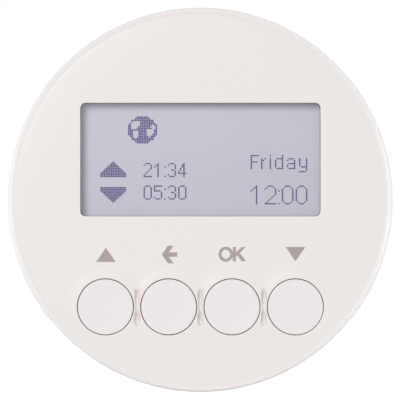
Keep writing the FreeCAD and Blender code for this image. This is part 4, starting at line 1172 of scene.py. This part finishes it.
class TIMER_OT_cover(bpy.types.Operator):
    """Build the moulded front cover"""
    bl_idname = "timer.cover"
    bl_label = "Cover"

    def execute(self, context):
        piece = make_cover(in_millimetres(context.scene.timer_sizes))
        paint(piece, smooth_plastic("cover_plastic", context.scene.timer_colours.cover).material)
        even_shading(piece)
        settled(piece, MODULE, ["front_cover"])
        return {"FINISHED"}


class TIMER_OT_gasket(bpy.types.Operator):
    """Build the foam frame around the display"""
    bl_idname = "timer.gasket"
    bl_label = "Gasket"

    def execute(self, context):
        piece = make_gasket(in_millimetres(context.scene.timer_sizes))
        paint(piece, foam_finish("gasket_foam", slot_colour("foam")).material)
        settled(piece, MODULE, ["window_gasket"])
        return {"FINISHED"}


class TIMER_OT_caps(bpy.types.Operator):
    """Build the four button caps"""
    bl_idname = "timer.caps"
    bl_label = "Button caps"

    def execute(self, context):
        finish = smooth_plastic("button_plastic", context.scene.timer_colours.caps)
        for name in BUTTONS:
            piece = make_cap(name, in_millimetres(context.scene.timer_sizes))
            paint(piece, finish.material)
            even_shading(piece)
            settled(piece, name + "_button", ["button_" + name])
        return {"FINISHED"}


class TIMER_OT_marks(bpy.types.Operator):
    """Build the printed symbols above the buttons"""
    bl_idname = "timer.marks"
    bl_label = "Printed marks"

    def execute(self, context):
        piece = make_marks(in_millimetres(context.scene.timer_sizes))
        ink = context.scene.timer_colours.ink
        finish = moulded("mark_ink", ink, 0.5, mottle=0.04, grain=5000, height=1e-6)
        paint(piece, finish.material)
        settled(piece, MODULE)
        return {"FINISHED"}


class TIMER_OT_display_image(bpy.types.Operator):
    """Build the dark dots of the display"""
    bl_idname = "timer.display_image"
    bl_label = "Display image"

    def execute(self, context):
        finish = moulded("display_dots", context.scene.timer_colours.dots, 0.6, mottle=0.05)
        finish.shader.inputs["Specular IOR Level"].default_value = 0.1
        piece = make_display_image(context.scene.timer_sizes, finish.material)
        settled(piece, MODULE)
        return {"FINISHED"}


class TIMER_OT_screws(bpy.types.Operator):
    """Build the four housing screws"""
    bl_idname = "timer.screws"
    bl_label = "Housing screws"

    def execute(self, context):
        finish = moulded("screw_steel", slot_colour("screw_steel"), 0.3, spread=0.08, mottle=0.08, grain=2500,
                         height=4e-6, metallic=1.0)
        head_height = 1.0
        seat = depths_of("housing_screws")[1] - head_height
        points = [(x, seat, z) for x, z in screw_places()]
        piece = make_copies("screws", make_screw(head_height), points, math.pi / 2, finish.material)
        settled(piece, MODULE, ["housing_screws"])
        return {"FINISHED"}


class TIMER_OT_contacts(bpy.types.Operator):
    """Build the plug's contacts"""
    bl_idname = "timer.contacts"
    bl_label = "Plug contacts"

    def execute(self, context):
        finish = moulded("contact_metal", slot_colour("contact_metal"), 0.24, spread=0.06, mottle=0.05,
                         grain=2500, height=2e-6, metallic=1.0, stretch=(1, 0.15, 1))
        pitch, columns, rows = 2.54, 6, 2
        points = [
            ((column - (columns - 1) / 2) * pitch, 0, (row - (rows - 1) / 2) * pitch)
            for row in range(rows) for column in range(columns)]
        piece = make_copies("contacts", make_contact(), points, 0.0, finish.material)
        settled(piece, MODULE, ["header_pins"])
        return {"FINISHED"}


class TIMER_OT_stage(bpy.types.Operator):
    """Build the floor, the soft light and the camera"""
    bl_idname = "timer.stage"
    bl_label = "Floor, light and camera"

    def execute(self, context):
        make_world(seen=1.0, lighting=0.36)
        make_floor(glow=0.7)
        for lamp in LAMPS:
            soft_box(*lamp)
        make_camera(context.scene, context.scene.timer_sizes.rim_round)
        context.scene.view_settings.view_transform = "Standard"
        return {"FINISHED"}


class TIMER_PT_panel(bpy.types.Panel):
    """The timer's pieces and settings"""
    bl_idname = "TIMER_PT_panel"
    bl_label = "Programmable timer"
    bl_space_type = "VIEW_3D"
    bl_region_type = "UI"
    bl_category = "Timer"

    def draw(self, context):
        for operator in OPERATORS:
            self.layout.operator(operator.bl_idname)
        for group in (context.scene.timer_sizes, context.scene.timer_colours):
            column = self.layout.column()
            for name in setting_names(group):
                column.prop(group, name)


OPERATORS = (
    TIMER_OT_node_finishes, TIMER_OT_cover, TIMER_OT_gasket, TIMER_OT_caps, TIMER_OT_marks,
    TIMER_OT_display_image, TIMER_OT_screws, TIMER_OT_contacts, TIMER_OT_stage)
CLASSES = (TimerSizes, TimerColours, *OPERATORS, TIMER_PT_panel)


def register():
    """Register the classes and the settings."""
    for item in CLASSES:
        bpy.utils.register_class(item)
    bpy.types.Scene.timer_sizes = bpy.props.PointerProperty(type=TimerSizes)
    bpy.types.Scene.timer_colours = bpy.props.PointerProperty(type=TimerColours)


def unregister():
    """Remove the settings and the classes."""
    del bpy.types.Scene.timer_colours
    del bpy.types.Scene.timer_sizes
    for item in reversed(CLASSES):
        bpy.utils.unregister_class(item)


def main():
    register()
    for item in OPERATORS:
        group, name = item.bl_idname.split(".")
        getattr(getattr(bpy.ops, group), name)()


if __name__ == "__main__":
    main()
